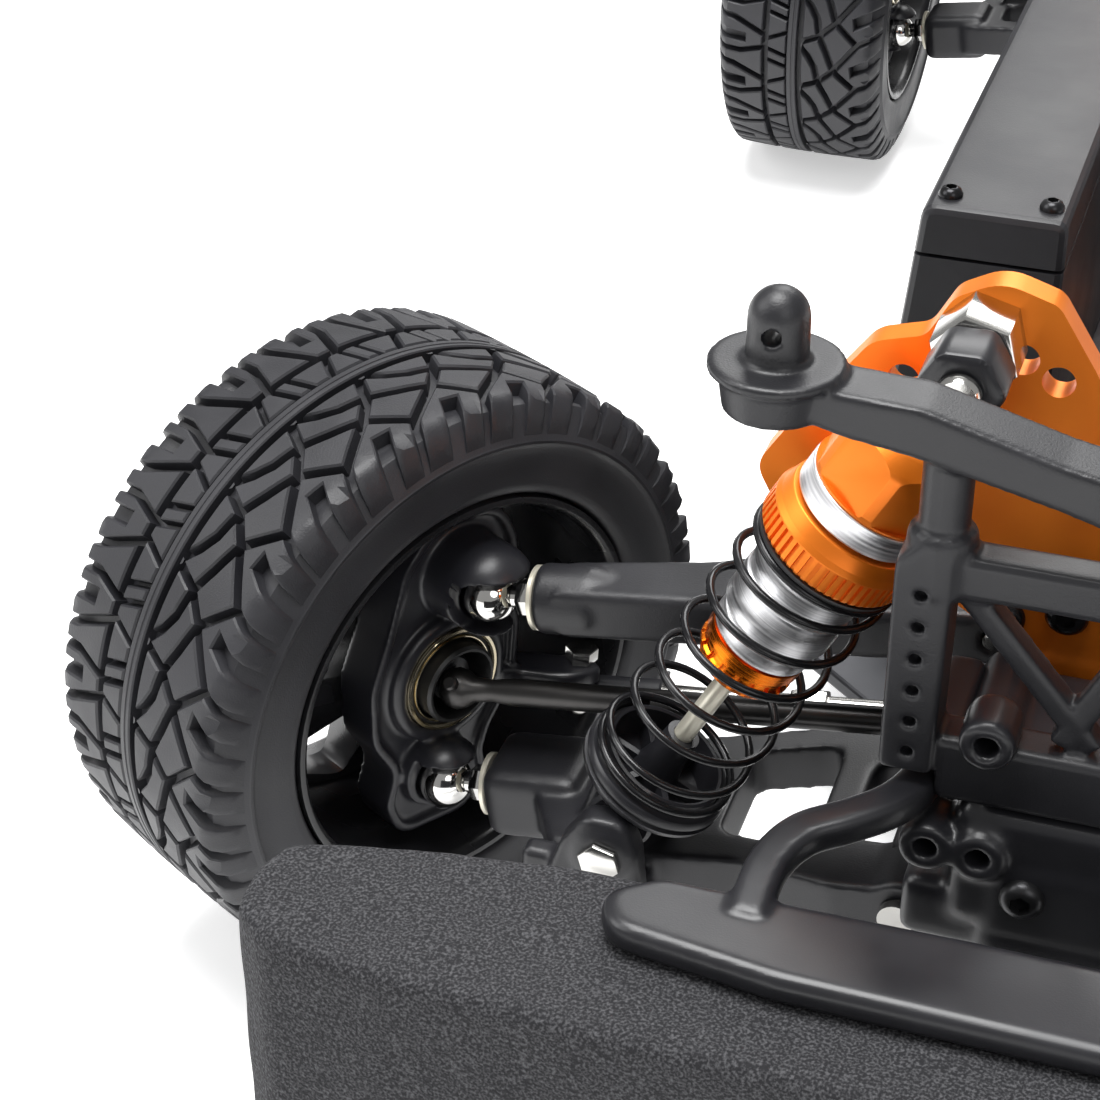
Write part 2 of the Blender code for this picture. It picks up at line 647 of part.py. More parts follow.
def steering_plate():
    """The drag plate between the bellcranks: it carries the tie rods and a fork for the servo horn."""
    frame = CAR @ Matrix.Translation(tip_shift())
    rods_x = KINGPIN_X - ARM_SPAN.x
    rods_y = STEER_RADIUS - WHEELBASE / 2
    tips_y = BELLCRANK.y + STEER_RADIUS
    half = [(0, rods_y - 3.6), (rods_x + 4, rods_y - 3.6), (rods_x + 4, rods_y + 4), (22, -136)]
    outline = half + [(22, -112), (38, -110), (38, -104.5), (-21, -104.5)] + [(-x, y) for x, y in half[:0:-1]]
    shapes = [prism(outline, PLATE_Z[0], PLATE_Z[1], frame)]
    cuts = []
    inner_z = AXLE_Z + TIE_ROD_W + ARM_SPAN.z
    for side in (-1, 1):
        foot = Vector((side * rods_x, rods_y, inner_z - 3.2))
        shapes.append(rod(foot, foot + Vector((0, 0, 7)), STEER_PIN, frame))
        hole = Vector((side * BELLCRANK.x, tips_y, 48))
        cuts.append(rod(hole, hole + Vector((0, 0, 12)), 1.95, frame))
        prong = HORN.x + side * 3.6
        shapes.append(block((prong - 1.6, -109, PLATE_Z[0]), (prong + 1.6, -105, 70), frame))
    origin = Vector((BELLCRANK.x, tips_y, PLATE_Z[0])) + tip_shift()
    solid("steering_plate", SILVER, shapes, cuts, origin * MM)


def servo():
    body = block((14, -97, PLATE_TOP + GAP), (54, -58, 51.3), CAR)
    ears = block((8, -90, 36), (60, -87, 47), CAR)
    output = rod((HORN.x, -98, HORN.z), (HORN.x, -90, HORN.z), 5.8, CAR, 12)
    solid("steering_servo", BLACK_PLASTIC, [body, ears, output])


def servo_horn():
    tip = HORN + Vector((-math.sin(STEER), 0, math.cos(STEER))) * STEER_RADIUS
    forward = Vector((0, -1, 0))
    shapes = [
        rod(HORN, HORN + forward * 4, 4.6, CAR, 12),
        arm_along(HORN, tip),
        rod(tip, tip + forward * 3.4, 3.6, CAR, 12),
        rod(tip, tip + forward * 14, 1.5, CAR),
    ]
    solid("servo_horn", BLACK_PLASTIC, shapes, origin=HORN * MM)


def arm_along(start, end):
    """A flat arm between two points of the servo horn, 3 mm thick along Y."""
    x = (end - start).normalized()
    y = Vector((0, -1, 0))
    frame = CAR @ axes(start, x, y, x.cross(y))
    return block((0, 0.3, -3), ((end - start).length, 3.3, 3), frame)


# --- Chassis, motor and electrics ---------------------------------------------------------------------


def chassis_plate():
    half = [(24, -232), (26, -150), (76, -108), (76, 108), (26, 150), (24, 232)]
    shapes = [prism(mirrored(half), PLATE_TOP - PLATE_THICK, PLATE_TOP, CAR)]
    for side in (-1, 1):
        foot = Vector((side * BELLCRANK.x, BELLCRANK.y, PLATE_TOP - 1))
        shoulder = Vector((foot.x, foot.y, 43.6))
        top = Vector((foot.x, foot.y, 51.8))
        shapes.append(rod(foot, shoulder, 4.5, CAR, 10))
        shapes.append(rod(shoulder - Vector((0, 0, 3)), top, 2.0, CAR))
    solid("chassis_plate", DARK_STEEL, shapes)


def motor_z():
    """The motor's height puts its pinion just clear of the spur gear."""
    reach = SPUR_RADIUS + PINION_RADIUS + GAP
    return SHAFT_Z - math.sqrt(reach**2 - MOTOR_X**2)


def motor():
    z = motor_z()
    can = rod((MOTOR_X, -42, z), (MOTOR_X, 8, z), MOTOR_RADIUS, CAR, 20)
    bore = rod((MOTOR_X, 0, z), (MOTOR_X, 10, z), 2.1, CAR)
    solid("motor", SILVER, [can], [bore])


def gears():
    z = motor_z()
    spur = rod((0, SPUR_Y[0], SHAFT_Z), (0, SPUR_Y[1], SHAFT_Z), SPUR_RADIUS, CAR, 20)
    shaft = rod((0, -154, SHAFT_Z), (0, 154, SHAFT_Z), 2.5, CAR)
    solid("spur_gear_shaft", GEAR, [shaft, spur], origin=Vector((0, SPUR_Y[0], SHAFT_Z)) * MM)
    pinion = rod((MOTOR_X, SPUR_Y[0] - 0.5, z), (MOTOR_X, SPUR_Y[1] + 1, z), PINION_RADIUS, CAR, 12)
    spindle = rod((MOTOR_X, 2, z), (MOTOR_X, SPUR_Y[1], z), 1.6, CAR)
    solid("motor_pinion", STEEL, [pinion, spindle], origin=Vector((MOTOR_X, SPUR_Y[0], z)) * MM)


def centre_mount():
    """Two bulkheads on one foot: they carry the centre shaft and the motor's front."""
    floor = PLATE_TOP + GAP
    shapes = [
        block((-20, 8.3, floor), (46, 27, 36), CAR),
        prism(((-14, 33), (46, 33), (46, 62), (30, 71), (-8, 71), (-14, 62)), 8.4, 11.6, upright(CAR)),
        prism(((-14, 33), (14, 33), (14, 62), (8, 71), (-8, 71), (-14, 62)), 22.5, 27, upright(CAR)),
    ]
    cuts = [
        rod((0, 5, SHAFT_Z), (0, 30, SHAFT_Z), 3.2, CAR),
        rod((MOTOR_X, 5, motor_z()), (MOTOR_X, 13, motor_z()), 3.0, CAR),
    ]
    solid("centre_mount", ORANGE, shapes, cuts)


def battery_and_radio():
    floor = PLATE_TOP + GAP
    solid("battery_pack", BATTERY, [block((48, -54, floor), (73, 84, 78), CAR)])
    outline = ((-68, floor), (-36, floor), (-36, 92), (-62, 92))
    solid("radio_box", BLACK_PLASTIC, [prism(outline, -62, 70, upright(CAR))])


# --- The car ----------------------------------------------------------------------------------------------


def build_corner(place):
    empty = steering_empty(place)
    if place.sy < 0:
        pivot_ball(place)
        tie_rod(place)
    lower_arm(place)
    upper_arm(place)
    knuckle(place, empty)
    rim(place, empty)
    tyre(place, empty)
    drive_shaft(place)
    shock_absorber(place)


def build_end(sy, end):
    gear_case(sy, f"{end}_gear_case")
    shock_tower(sy, f"{end}_shock_tower")
    body_mount(sy, f"{end}_body_mount")


def main():
    clear_scene()
    for place in CORNERS:
        build_corner(place)
    build_end(-1, "front")
    build_end(1, "rear")
    bumper_foam()
    bumper_brace()
    bellcrank(1, "bellcrank_left")
    bellcrank(-1, "bellcrank_right")
    steering_plate()
    servo()
    servo_horn()
    chassis_plate()
    motor()
    gears()
    centre_mount()
    battery_and_radio()


main()
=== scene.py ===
"""Looks of a remote-control drift car's chassis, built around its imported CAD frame.

The car's frame is in metres: +Z up, the car drives towards -Y and its left side is +X. Shapes are drawn
in millimetres in the axes of one corner of the car and placed on all four:
u runs inwards from the kingpin, v towards the middle of the car and w upwards, from the point K where the
kingpin meets the axle. A wheel's own axes are the same, turned with its steering and camber.
"""

import json
import math
from collections import namedtuple

import bmesh
import bpy
from mathutils import Matrix, Vector, geometry

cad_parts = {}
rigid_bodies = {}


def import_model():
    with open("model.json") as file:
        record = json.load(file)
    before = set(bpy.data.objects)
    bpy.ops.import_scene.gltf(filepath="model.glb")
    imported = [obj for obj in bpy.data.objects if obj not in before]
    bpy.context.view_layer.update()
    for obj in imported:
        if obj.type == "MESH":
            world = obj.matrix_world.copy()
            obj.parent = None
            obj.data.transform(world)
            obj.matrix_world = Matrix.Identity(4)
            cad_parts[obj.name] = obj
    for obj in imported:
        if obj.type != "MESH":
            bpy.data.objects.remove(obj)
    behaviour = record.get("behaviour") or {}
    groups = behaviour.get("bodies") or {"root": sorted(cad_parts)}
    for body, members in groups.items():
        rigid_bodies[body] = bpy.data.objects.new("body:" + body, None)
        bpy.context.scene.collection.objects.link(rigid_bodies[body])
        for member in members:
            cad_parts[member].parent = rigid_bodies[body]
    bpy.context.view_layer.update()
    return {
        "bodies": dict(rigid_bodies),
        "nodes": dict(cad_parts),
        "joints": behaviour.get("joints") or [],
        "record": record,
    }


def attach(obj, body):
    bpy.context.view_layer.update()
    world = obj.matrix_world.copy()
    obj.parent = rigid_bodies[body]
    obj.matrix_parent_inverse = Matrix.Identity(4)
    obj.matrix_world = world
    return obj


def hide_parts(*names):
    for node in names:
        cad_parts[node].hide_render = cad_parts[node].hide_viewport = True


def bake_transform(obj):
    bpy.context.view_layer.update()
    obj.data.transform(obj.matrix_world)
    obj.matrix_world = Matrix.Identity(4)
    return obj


MM = 0.001
TAU = math.tau

# Layout, as the CAD frame has it
WHEELBASE = 340.0
KINGPIN_X = 108.5
AXLE_Z = 50.0
STEER = math.radians(-30.5)
CAMBER = {-1: math.radians(5.2), 1: math.radians(1.5)}
WHEEL_OFFSET = -19.2
ARM_SPAN = Vector((77.0, 0.0, 10.8))
UPPER_BALL = Vector((3.3, 2.0, 17.1))
LOWER_BALL = -UPPER_BALL
BALL_RADIUS = 4.4
LOWER_EYES = ((-23.5, -12.0), (7.0, 17.0))
UPPER_EYES = ((-2.0, 4.7), (13.3, 20.0))
SHOCK_V = -20.6
SHOCK_FOOT = Vector((32.5, SHOCK_V, 0.5))
SHOCK_HEAD = Vector((75.4, SHOCK_V, 79.1))
STEER_RADIUS = 24.0
TIP = Vector((-math.sin(STEER), math.cos(STEER), 0)) * STEER_RADIUS
PLATE_SHIFT = TIP - Vector((0, STEER_RADIUS, 0))
HALF_LENGTH = 262.0
PLATE_TOP = 31.0
SHAFT_Z = 60.8
LOWER_HINGE = (34.8, 43.7)
UPPER_HINGE = (28.2, 77.9)
BELLCRANK = (16, -132)
SERVO_AXIS = (30, 41.3)
MOUNT_V = -40
SPUR_TEETH = 44
PINION_TEETH = 14
GEAR_DISTANCE = 29.3
MODULE = GEAR_DISTANCE * 2 / (SPUR_TEETH + PINION_TEETH)
MOTOR_X = 27.5
MOTOR_Z = SHAFT_Z - math.sqrt(GEAR_DISTANCE**2 - MOTOR_X**2)
UP = Vector((0, 0, 1))

# Tyre
TYRE_RADIUS = 50.0
PITCHES = 24
PITCH = TAU * TYRE_RADIUS / PITCHES
GROOVE_DEPTH = 2.3
TREAD_EDGE = 20.7
FIRST_WINDOW = math.radians(-113)
SPOKES = 5

Corner = namedtuple("Corner", "name sx sy frame wheel")

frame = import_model()


# --- Frames ------------------------------------------------------------------------------------------


def axes(origin, x, y, z):
    matrix = Matrix((x, y, z)).transposed().to_4x4()
    matrix.translation = Vector(origin)
    return matrix


def corner(name, sx, sy):
    """sx is +1 on the car's left and -1 on its right, sy is +1 at the rear and -1 at the front."""
    origin = (sx * KINGPIN_X, sy * WHEELBASE / 2, AXLE_Z)
    place = Matrix.Scale(MM, 4) @ axes(origin, (-sx, 0, 0), (0, -sy, 0), (0, 0, 1))
    turn = Matrix.Rotation(-sx * CAMBER[sy], 4, "Y")
    if sy < 0:
        kingpin = place.to_3x3() @ (UPPER_BALL - LOWER_BALL)
        turn = Matrix.Rotation(STEER, 4, kingpin) @ turn
    wheel = Matrix.Translation(place.translation) @ turn @ Matrix.Diagonal((-sx * MM, -sy * MM, MM, 1))
    return Corner(name, sx, sy, place, wheel)


CORNERS = (
    corner("front_right", -1, -1),
    corner("front_left", 1, -1),
    corner("rear_right", -1, 1),
    corner("rear_left", 1, 1),
)
CAR = Matrix.Scale(MM, 4)


def arm_axes(ball):
    """Axes of a suspension arm within its corner: x from its ball to its hinge, y along v."""
    x = ARM_SPAN.normalized()
    y = Vector((0, 1, 0))
    return axes((ball.x, 0, ball.z), x, y, x.cross(y))


def along(start, end):
    """Axes at start whose x points at end."""
    x = (Vector(end) - Vector(start)).normalized()
    side = x.orthogonal().normalized()
    return axes(start, x, side, x.cross(side))


def standing(x, y):
    """Axes of a turned shape that stands on a place of the car."""
    return axes((x, y, 0), (0, 0, 1), (1, 0, 0), (0, 1, 0))


def level(start, end):
    """Axes at start whose x points at end and whose z is up."""
    x = (end - start).normalized()
    return axes(start, x, UP.cross(x), (0, 0, 1))


def facing(x, z):
    """Axes of a turned shape that lies along the car: x is v, from a place across and above it."""
    return axes((x, 0, z), (0, 1, 0), (0, 0, 1), (1, 0, 0))


LEAN = (SHOCK_HEAD - SHOCK_FOOT).normalized()
SHOCK = axes(SHOCK_FOOT, LEAN, (0, 1, 0), LEAN.cross(Vector((0, 1, 0))))
SHOCK_LENGTH = (SHOCK_HEAD - SHOCK_FOOT).length
ACROSS_HEAD = ((SHOCK_LENGTH, -6, 0), (SHOCK_LENGTH, 6, 0))
UPRIGHT = axes((0, 0, 0), (1, 0, 0), (0, 0, 1), (0, 1, 0))
WHEEL_FACE = axes((0, 0, 0), (0, 1, 0), (0, 0, 1), (1, 0, 0))


def end_axes(sy):
    """Axes at one end of the car: x across, y is v and z is the height over the ground."""
    return axes((0, sy * WHEELBASE / 2, 0), (1, 0, 0), (0, -sy, 0), (0, 0, 1))


# --- Shapes: each returns a closed bmesh, in millimetres ---------------------------------------------


def reflected(points):
    """The points reflected in the middle line, last first, without those that lie on it."""
    return [(-point[0], *point[1:]) for point in reversed(points) if point[0]]


def turned(count, place, low, high, edge=0.0, phase=0.0):
    """A block, repeated round the place's X axis."""
    turns = [Matrix.Rotation(TAU * (i + phase) / count, 4, "X") for i in range(count)]
    return [block(low, high, place @ turn, edge) for turn in turns]


def fillet(points, radius, steps=4):
    """The outline with its corners rounded. A point may carry its own radius as a third number."""
    rounded = []
    count = len(points)
    for i, point in enumerate(points):
        here = Vector(point[:2])
        wanted = point[2] if len(point) > 2 else radius
        if not wanted:
            rounded.append(tuple(here))
            continue
        back = Vector(points[i - 1][:2]) - here
        ahead = Vector(points[(i + 1) % count][:2]) - here
        angle = back.angle(ahead, math.pi)
        if angle > math.radians(176):
            rounded.append(tuple(here))
            continue
        reach = min(wanted / math.tan(angle / 2), 0.48 * back.length, 0.48 * ahead.length)
        start = here + back.normalized() * reach
        end = here + ahead.normalized() * reach
        for step in range(steps + 1):
            t = step / steps
            rounded.append(tuple(start * (1 - t) ** 2 + here * 2 * t * (1 - t) + end * t**2))
    return rounded


def finished(bm):
    bmesh.ops.recalc_face_normals(bm, faces=bm.faces)
    return bm


def lathe(profile, place=Matrix(), segments=64, softness=0.0):
    """A body of revolution about the place's X axis, from (along, radius) points."""
    if softness:
        profile = fillet([(a, r, 0 if r == 0 else softness) for a, r in profile], softness, 3)
    bm = bmesh.new()
    layer = bm.verts.layers.float.new("along")
    rings = []
    for distance, radius in profile:
        count = segments if radius > 1e-6 else 1
        ring = []
        for i in range(count):
            turn = TAU * i / segments
            point = Vector((distance, radius * math.cos(turn), radius * math.sin(turn)))
            vert = bm.verts.new(place @ point)
            vert[layer] = distance
            ring.append(vert)
        rings.append(ring)
    for near, far in zip(rings, rings[1:] + rings[:1]):
        if len(near) == len(far) == 1:
            continue
        for i in range(segments):
            corners = [near[i % len(near)], near[(i + 1) % len(near)]]
            corners += [far[(i + 1) % len(far)], far[i % len(far)]]
            bm.faces.new(dict.fromkeys(corners))
    return finished(bm)


def rod(start, end, radius, place=Matrix(), segments=32, edge=0.3):
    length = (Vector(end) - Vector(start)).length
    edge = min(edge, radius * 0.4, length * 0.4)
    profile = [(0, 0), (0, radius - edge), (edge, radius), (length - edge, radius), (length, radius - edge)]
    profile.append((length, 0))
    return lathe(profile, place @ along(start, end), segments)


def ball(centre, radius, place=Matrix(), segments=32):
    steps = segments // 2
    angles = [math.pi * i / steps for i in range(steps)]
    arc = [(-radius * math.cos(angle), radius * math.sin(angle)) for angle in angles]
    arc[0] = (-radius, 0)
    return lathe(arc + [(radius, 0)], place @ Matrix.Translation(Vector(centre)), segments)


def prism(outline, low, high, place=Matrix(), edge=0.0, steps=2):
    """An outline of (x, y) points extruded along z, with its two rims bevelled by edge."""
    bm = bmesh.new()
    rims = [[bm.verts.new(place @ Vector((x, y, z))) for x, y in outline] for z in (low, high)]
    caps = [bm.faces.new(rim) for rim in rims]
    for i in range(len(outline)):
        j = (i + 1) % len(outline)
        bm.faces.new((rims[0][i], rims[0][j], rims[1][j], rims[1][i]))
    finished(bm)
    if edge:
        around = list({line for cap in caps for line in cap.edges})
        bmesh.ops.bevel(bm, geom=around, offset=edge, segments=steps, affect="EDGES", profile=0.5)
    return bm


def block(low, high, place=Matrix(), edge=0.4):
    """A box with all its edges rounded."""
    outline = ((low[0], low[1]), (high[0], low[1]), (high[0], high[1]), (low[0], high[1]))
    bm = prism(outline, low[2], high[2], place)
    if edge:
        bmesh.ops.bevel(bm, geom=list(bm.edges), offset=edge, segments=2, affect="EDGES", profile=0.5)
    return bm


def hexagon(start, end, flats, place=Matrix(), edge=0.25):
    """A hexagonal bar, flats wide across its flats."""
    length = (Vector(end) - Vector(start)).length
    return prism(circle(flats / math.sqrt(3), 6), 0, length, place @ along(start, end) @ WHEEL_FACE, edge)


def smooth_path(points, steps=8):
    """A Catmull-Rom curve through the points."""
    points = [Vector(point) for point in points]
    ends = [points[0] * 2 - points[1]] + points + [points[-1] * 2 - points[-2]]
    path = []
    for a, b, c, d in zip(ends, ends[1:], ends[2:], ends[3:]):
        for step in range(steps):
            t = step / steps
            squared = (2 * a - 5 * b + 4 * c - d) * t**2
            cubed = (3 * b - a - 3 * c + d) * t**3
            path.append(0.5 * (2 * b + (c - a) * t + squared + cubed))
    path.append(points[-1])
    return path


def sweep(path, section, place=Matrix(), up=None):
    """A closed section of (side, up) points carried along a path. Up stays fixed when it is given."""
    bm = bmesh.new()
    rings = []
    carried = None
    for i, point in enumerate(path):
        ahead = (path[min(i + 1, len(path) - 1)] - path[max(i - 1, 0)]).normalized()
        if up is not None:
            side = ahead.cross(up).normalized()
            lift = side.cross(ahead).normalized()
        else:
            side = ahead.orthogonal() if carried is None else carried - ahead * carried.dot(ahead)
            side.normalize()
            lift = ahead.cross(side)
        carried = side
        rings.append([bm.verts.new(place @ (point + side * a + lift * b)) for a, b in section])
    count = len(section)
    for near, far in zip(rings, rings[1:]):
        for i in range(count):
            bm.faces.new((near[i], near[(i + 1) % count], far[(i + 1) % count], far[i]))
    bm.faces.new(rings[0])
    bm.faces.new(rings[-1])
    return finished(bm)


def circle(radius, sides=12):
    return [(radius * math.cos(TAU * i / sides), radius * math.sin(TAU * i / sides)) for i in range(sides)]


def rounded_box(width, height, radius, steps=3):
    signs = ((-1, -1), (1, -1), (1, 1), (-1, 1))
    return fillet([(x * width / 2, y * height / 2) for x, y in signs], radius, steps)


def band(outline, width, low, high, place=Matrix()):
    """The rim of an outline, width wide and extruded along z."""
    outer = anticlockwise([Vector(point) for point in outline])
    inner = offset(outer, -width)
    bm = bmesh.new()
    rings = []
    for points, z in ((outer, low), (outer, high), (inner, high), (inner, low)):
        rings.append([bm.verts.new(place @ Vector((p.x, p.y, z))) for p in points])
    for near, far in zip(rings, rings[1:] + rings[:1]):
        for i in range(len(near)):
            j = (i + 1) % len(near)
            bm.faces.new((near[i], near[j], far[j], far[i]))
    return finished(bm)


def gathered(shapes):
    """One bmesh holding all the shapes."""
    whole = bmesh.new()
    for shape in shapes:
        mesh = bpy.data.meshes.new("gathered")
        shape.to_mesh(mesh)
        shape.free()
        whole.from_mesh(mesh)
        bpy.data.meshes.remove(mesh)
    return whole


# --- Meshes ----------------------------------------------------------------------------------------


def mesh_of(bm, name="shape"):
    """The shape as a mesh. A mesh stays as it is."""
    if isinstance(bm, bpy.types.Mesh):
        return bm
    mesh = bpy.data.meshes.new(name)
    bm.to_mesh(mesh)
    bm.free()
    return mesh


def worked(mesh, modify):
    """The mesh after the modifiers that modify adds to a scratch object holding it."""
    scratch = bpy.data.objects.new("scratch", mesh)
    bpy.context.scene.collection.objects.link(scratch)
    modify(scratch)
    result = bpy.data.meshes.new_from_object(scratch.evaluated_get(bpy.context.evaluated_depsgraph_get()))
    bpy.data.objects.remove(scratch)
    return result


def carved(shapes, cuts=(), edge=0.35, angle=38):
    """The union of the shapes less the cuts, with the edges that result softened by edge."""
    mesh = combined(mesh_of(shapes[0]), shapes[1:], cuts)
    if not edge:
        return mesh

    def bevel(scratch):
        modifier = scratch.modifiers.new("edges", "BEVEL")
        modifier.width = edge
        modifier.segments = 2
        modifier.limit_method = "ANGLE"
        modifier.angle_limit = math.radians(angle)
        modifier.use_clamp_overlap = True

    return worked(mesh, bevel)


def combined(mesh, joined, cuts):
    """The mesh after Booleans with the shapes joined to it and then cut from it."""
    helpers = []

    def booleans(scratch):
        for operation, shape in [("UNION", s) for s in joined] + [("DIFFERENCE", s) for s in cuts]:
            helper = bpy.data.objects.new("helper", mesh_of(shape))
            bpy.context.scene.collection.objects.link(helper)
            helpers.append(helper)
            modifier = scratch.modifiers.new(operation, "BOOLEAN")
            modifier.operation = operation
            modifier.solver = "EXACT"
            modifier.object = helper

    mesh = worked(mesh, booleans)
    for helper in helpers:
        bpy.data.objects.remove(helper)
    return mesh


def skinned(mesh, voxel, rounds=0):
    """One closed skin over the mesh's overlapping shells, smoothed."""

    def remesh(scratch):
        modifier = scratch.modifiers.new("skin", "REMESH")
        modifier.mode = "VOXEL"
        modifier.voxel_size = voxel
        smooth = scratch.modifiers.new("smooth", "SMOOTH")
        smooth.factor = 0.5
        smooth.iterations = rounds * 2

    return worked(mesh, remesh)


def moulded(shapes, cuts=(), voxel=0.5, rounds=3):
    """The union of the shapes less the cuts, remeshed and smoothed, so that inner corners are filleted."""
    mesh = mesh_of(gathered(shapes))
    if cuts:
        mesh = combined(skinned(mesh, voxel), (), cuts)
    return skinned(mesh, voxel, rounds)


def piece(name, mesh, place, material, body, replaces=(), sharp=38):
    """The mesh, moved from its own millimetre axes to the car's frame, as a piece riding on a body."""
    mesh = mesh.copy()
    mesh.transform(place)
    if place.determinant() < 0:
        mesh.flip_normals()
    mesh.materials.clear()
    mesh.materials.append(material)
    mesh.shade_smooth()
    mesh.set_sharp_from_angle(angle=math.radians(sharp))
    mesh.name = name
    obj = bpy.data.objects.new(name, mesh)
    bpy.context.scene.collection.objects.link(obj)
    if body:
        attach(obj, body)
    if replaces:
        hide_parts(*replaces)
    return obj


def on_corners(suffix, mesh, material, body, node=None, places=CORNERS, wheel=False, sharp=38):
    """The mesh on each corner given, riding on that corner's body and standing for that corner's node."""
    mesh = mesh_of(mesh)
    for place in places:
        nodes = [f"{place.name}_{node}"] if node else []
        target = place.wheel if wheel else place.frame
        piece(f"{place.name}_{suffix}", mesh, target, material, f"{place.name}_{body}", nodes, sharp)


# --- Materials ---------------------------------------------------------------------------------------


def tree_of(name, metallic, direct):
    material = bpy.data.materials.new(name)
    material.use_nodes = True
    tree = material.node_tree
    shader = tree.nodes["Principled BSDF"]
    shader.inputs["Metallic"].default_value = metallic
    for socket, value in direct.items():
        shader.inputs[socket].default_value = value
    return material, tree, shader


def noise(tree, scale, detail=3.0, coordinates=None):
    node = tree.nodes.new("ShaderNodeTexNoise")
    node.inputs["Scale"].default_value = scale
    node.inputs["Detail"].default_value = detail
    source = coordinates or tree.nodes.new("ShaderNodeTexCoord").outputs["Object"]
    tree.links.new(source, node.inputs["Vector"])
    return node.outputs["Fac"]


def spread(tree, source, low, high, start=0.35, end=0.65):
    """The source's values from start to end, mapped to low to high."""
    node = tree.nodes.new("ShaderNodeMapRange")
    for socket, value in (("From Min", start), ("From Max", end), ("To Min", low), ("To Max", high)):
        node.inputs[socket].default_value = value
    tree.links.new(source, node.inputs["Value"])
    return node.outputs["Result"]


def tones(tree, source, dark, light, start=0.35, end=0.65):
    node = tree.nodes.new("ShaderNodeValToRGB")
    node.color_ramp.elements[0].position = start
    node.color_ramp.elements[0].color = (*dark, 1)
    node.color_ramp.elements[1].position = end
    node.color_ramp.elements[1].color = (*light, 1)
    tree.links.new(source, node.inputs["Fac"])
    return node.outputs["Color"]


def bumped(tree, shader, source, depth, strength=1.0):
    node = tree.nodes.new("ShaderNodeBump")
    node.inputs["Distance"].default_value = depth
    node.inputs["Strength"].default_value = strength
    tree.links.new(source, node.inputs["Height"])
    tree.links.new(node.outputs["Normal"], shader.inputs["Normal"])


def surface(name, dark, light, rough, metallic=0.0, patches=60.0, grain=3500.0, depth=2e-5, **direct):
    """Colour and roughness that wander between two values, over a fine grain."""
    material, tree, shader = tree_of(name, metallic, direct)
    patch = noise(tree, patches)
    fine = noise(tree, grain, 2.0)
    tree.links.new(tones(tree, patch, dark, light), shader.inputs["Base Color"])
    tree.links.new(spread(tree, patch, *rough), shader.inputs["Roughness"])
    bumped(tree, shader, fine, depth)
    return material


def turned_metal(name, dark, light, rough, rings=2.5, depth=1e-5):
    """Metal with fine lathe marks, which follow the distance along a turned body's axis."""
    material, tree, shader = tree_of(name, 1.0, {})
    distance = tree.nodes.new("ShaderNodeAttribute")
    distance.attribute_name = "along"
    marks = tree.nodes.new("ShaderNodeTexNoise")
    marks.noise_dimensions = "1D"
    marks.inputs["Scale"].default_value = rings
    marks.inputs["Detail"].default_value = 4.0
    tree.links.new(distance.outputs["Fac"], marks.inputs["W"])
    tree.links.new(tones(tree, marks.outputs["Fac"], dark, light), shader.inputs["Base Color"])
    tree.links.new(spread(tree, marks.outputs["Fac"], *rough), shader.inputs["Roughness"])
    bumped(tree, shader, marks.outputs["Fac"], depth)
    return material


def foam_material():
    """Closed-cell foam: dark grey with pale flecks and open pores."""
    material, tree, shader = tree_of("foam", 0.0, {"Specular IOR Level": 0.25})
    cells = tree.nodes.new("ShaderNodeTexVoronoi")
    cells.inputs["Scale"].default_value = 1400.0
    source = tree.nodes.new("ShaderNodeTexCoord").outputs["Object"]
    tree.links.new(source, cells.inputs["Vector"])
    flecks = noise(tree, 2600.0, 1.0)
    colour = tones(tree, flecks, (0.014, 0.014, 0.016), (0.085, 0.085, 0.090), 0.42, 0.74)
    tree.links.new(colour, shader.inputs["Base Color"])
    tree.links.new(spread(tree, flecks, 0.8, 0.95), shader.inputs["Roughness"])
    bumped(tree, shader, cells.outputs["Distance"], 0.00018)
    return material


NYLON = surface("moulded_nylon", (0.010, 0.010, 0.012), (0.015, 0.015, 0.018), (0.36, 0.46), depth=3e-5)
NYLON_SMOOTH = surface("smooth_nylon", (0.011, 0.011, 0.013), (0.017, 0.017, 0.020), (0.28, 0.38), depth=1e-5)
KNUCKLE = surface("gloss_nylon", (0.011, 0.011, 0.014), (0.017, 0.017, 0.021), (0.30, 0.38), depth=1e-5)
RIM = surface("rim_plastic", (0.009, 0.009, 0.010), (0.015, 0.015, 0.017), (0.20, 0.32), depth=1e-5)
TYRE = surface(
    "tyre_rubber", (0.013, 0.013, 0.016), (0.020, 0.020, 0.024), (0.44, 0.58), patches=90.0, depth=4e-5
)
FOAM = foam_material()
ORANGE = surface("orange_anodised", (0.84, 0.19, 0.010), (0.92, 0.24, 0.016), (0.34, 0.44), 0.6, depth=8e-6)
ORANGE_TURNED = turned_metal("orange_turned", (0.80, 0.16, 0.006), (0.95, 0.24, 0.015), (0.20, 0.32))
SILVER_TURNED = turned_metal("silver_turned", (0.66, 0.66, 0.68), (0.92, 0.92, 0.93), (0.28, 0.40))
STEEL = surface("polished_steel", (0.56, 0.55, 0.52), (0.72, 0.71, 0.68), (0.10, 0.20), 1.0, depth=4e-6)
CHROME = surface("chrome", (0.70, 0.69, 0.66), (0.80, 0.79, 0.77), (0.04, 0.08), 1.0, depth=1e-6)
CREAM = surface("nickel_washer", (0.72, 0.68, 0.55), (0.84, 0.80, 0.68), (0.28, 0.40), 0.6)
GOLD = surface("bearing_ring", (0.60, 0.52, 0.36), (0.78, 0.70, 0.52), (0.12, 0.22), 1.0, depth=3e-6)
DARK_STEEL = surface("dark_steel", (0.035, 0.034, 0.034), (0.075, 0.072, 0.07), (0.28, 0.42), 0.9, depth=8e-6)
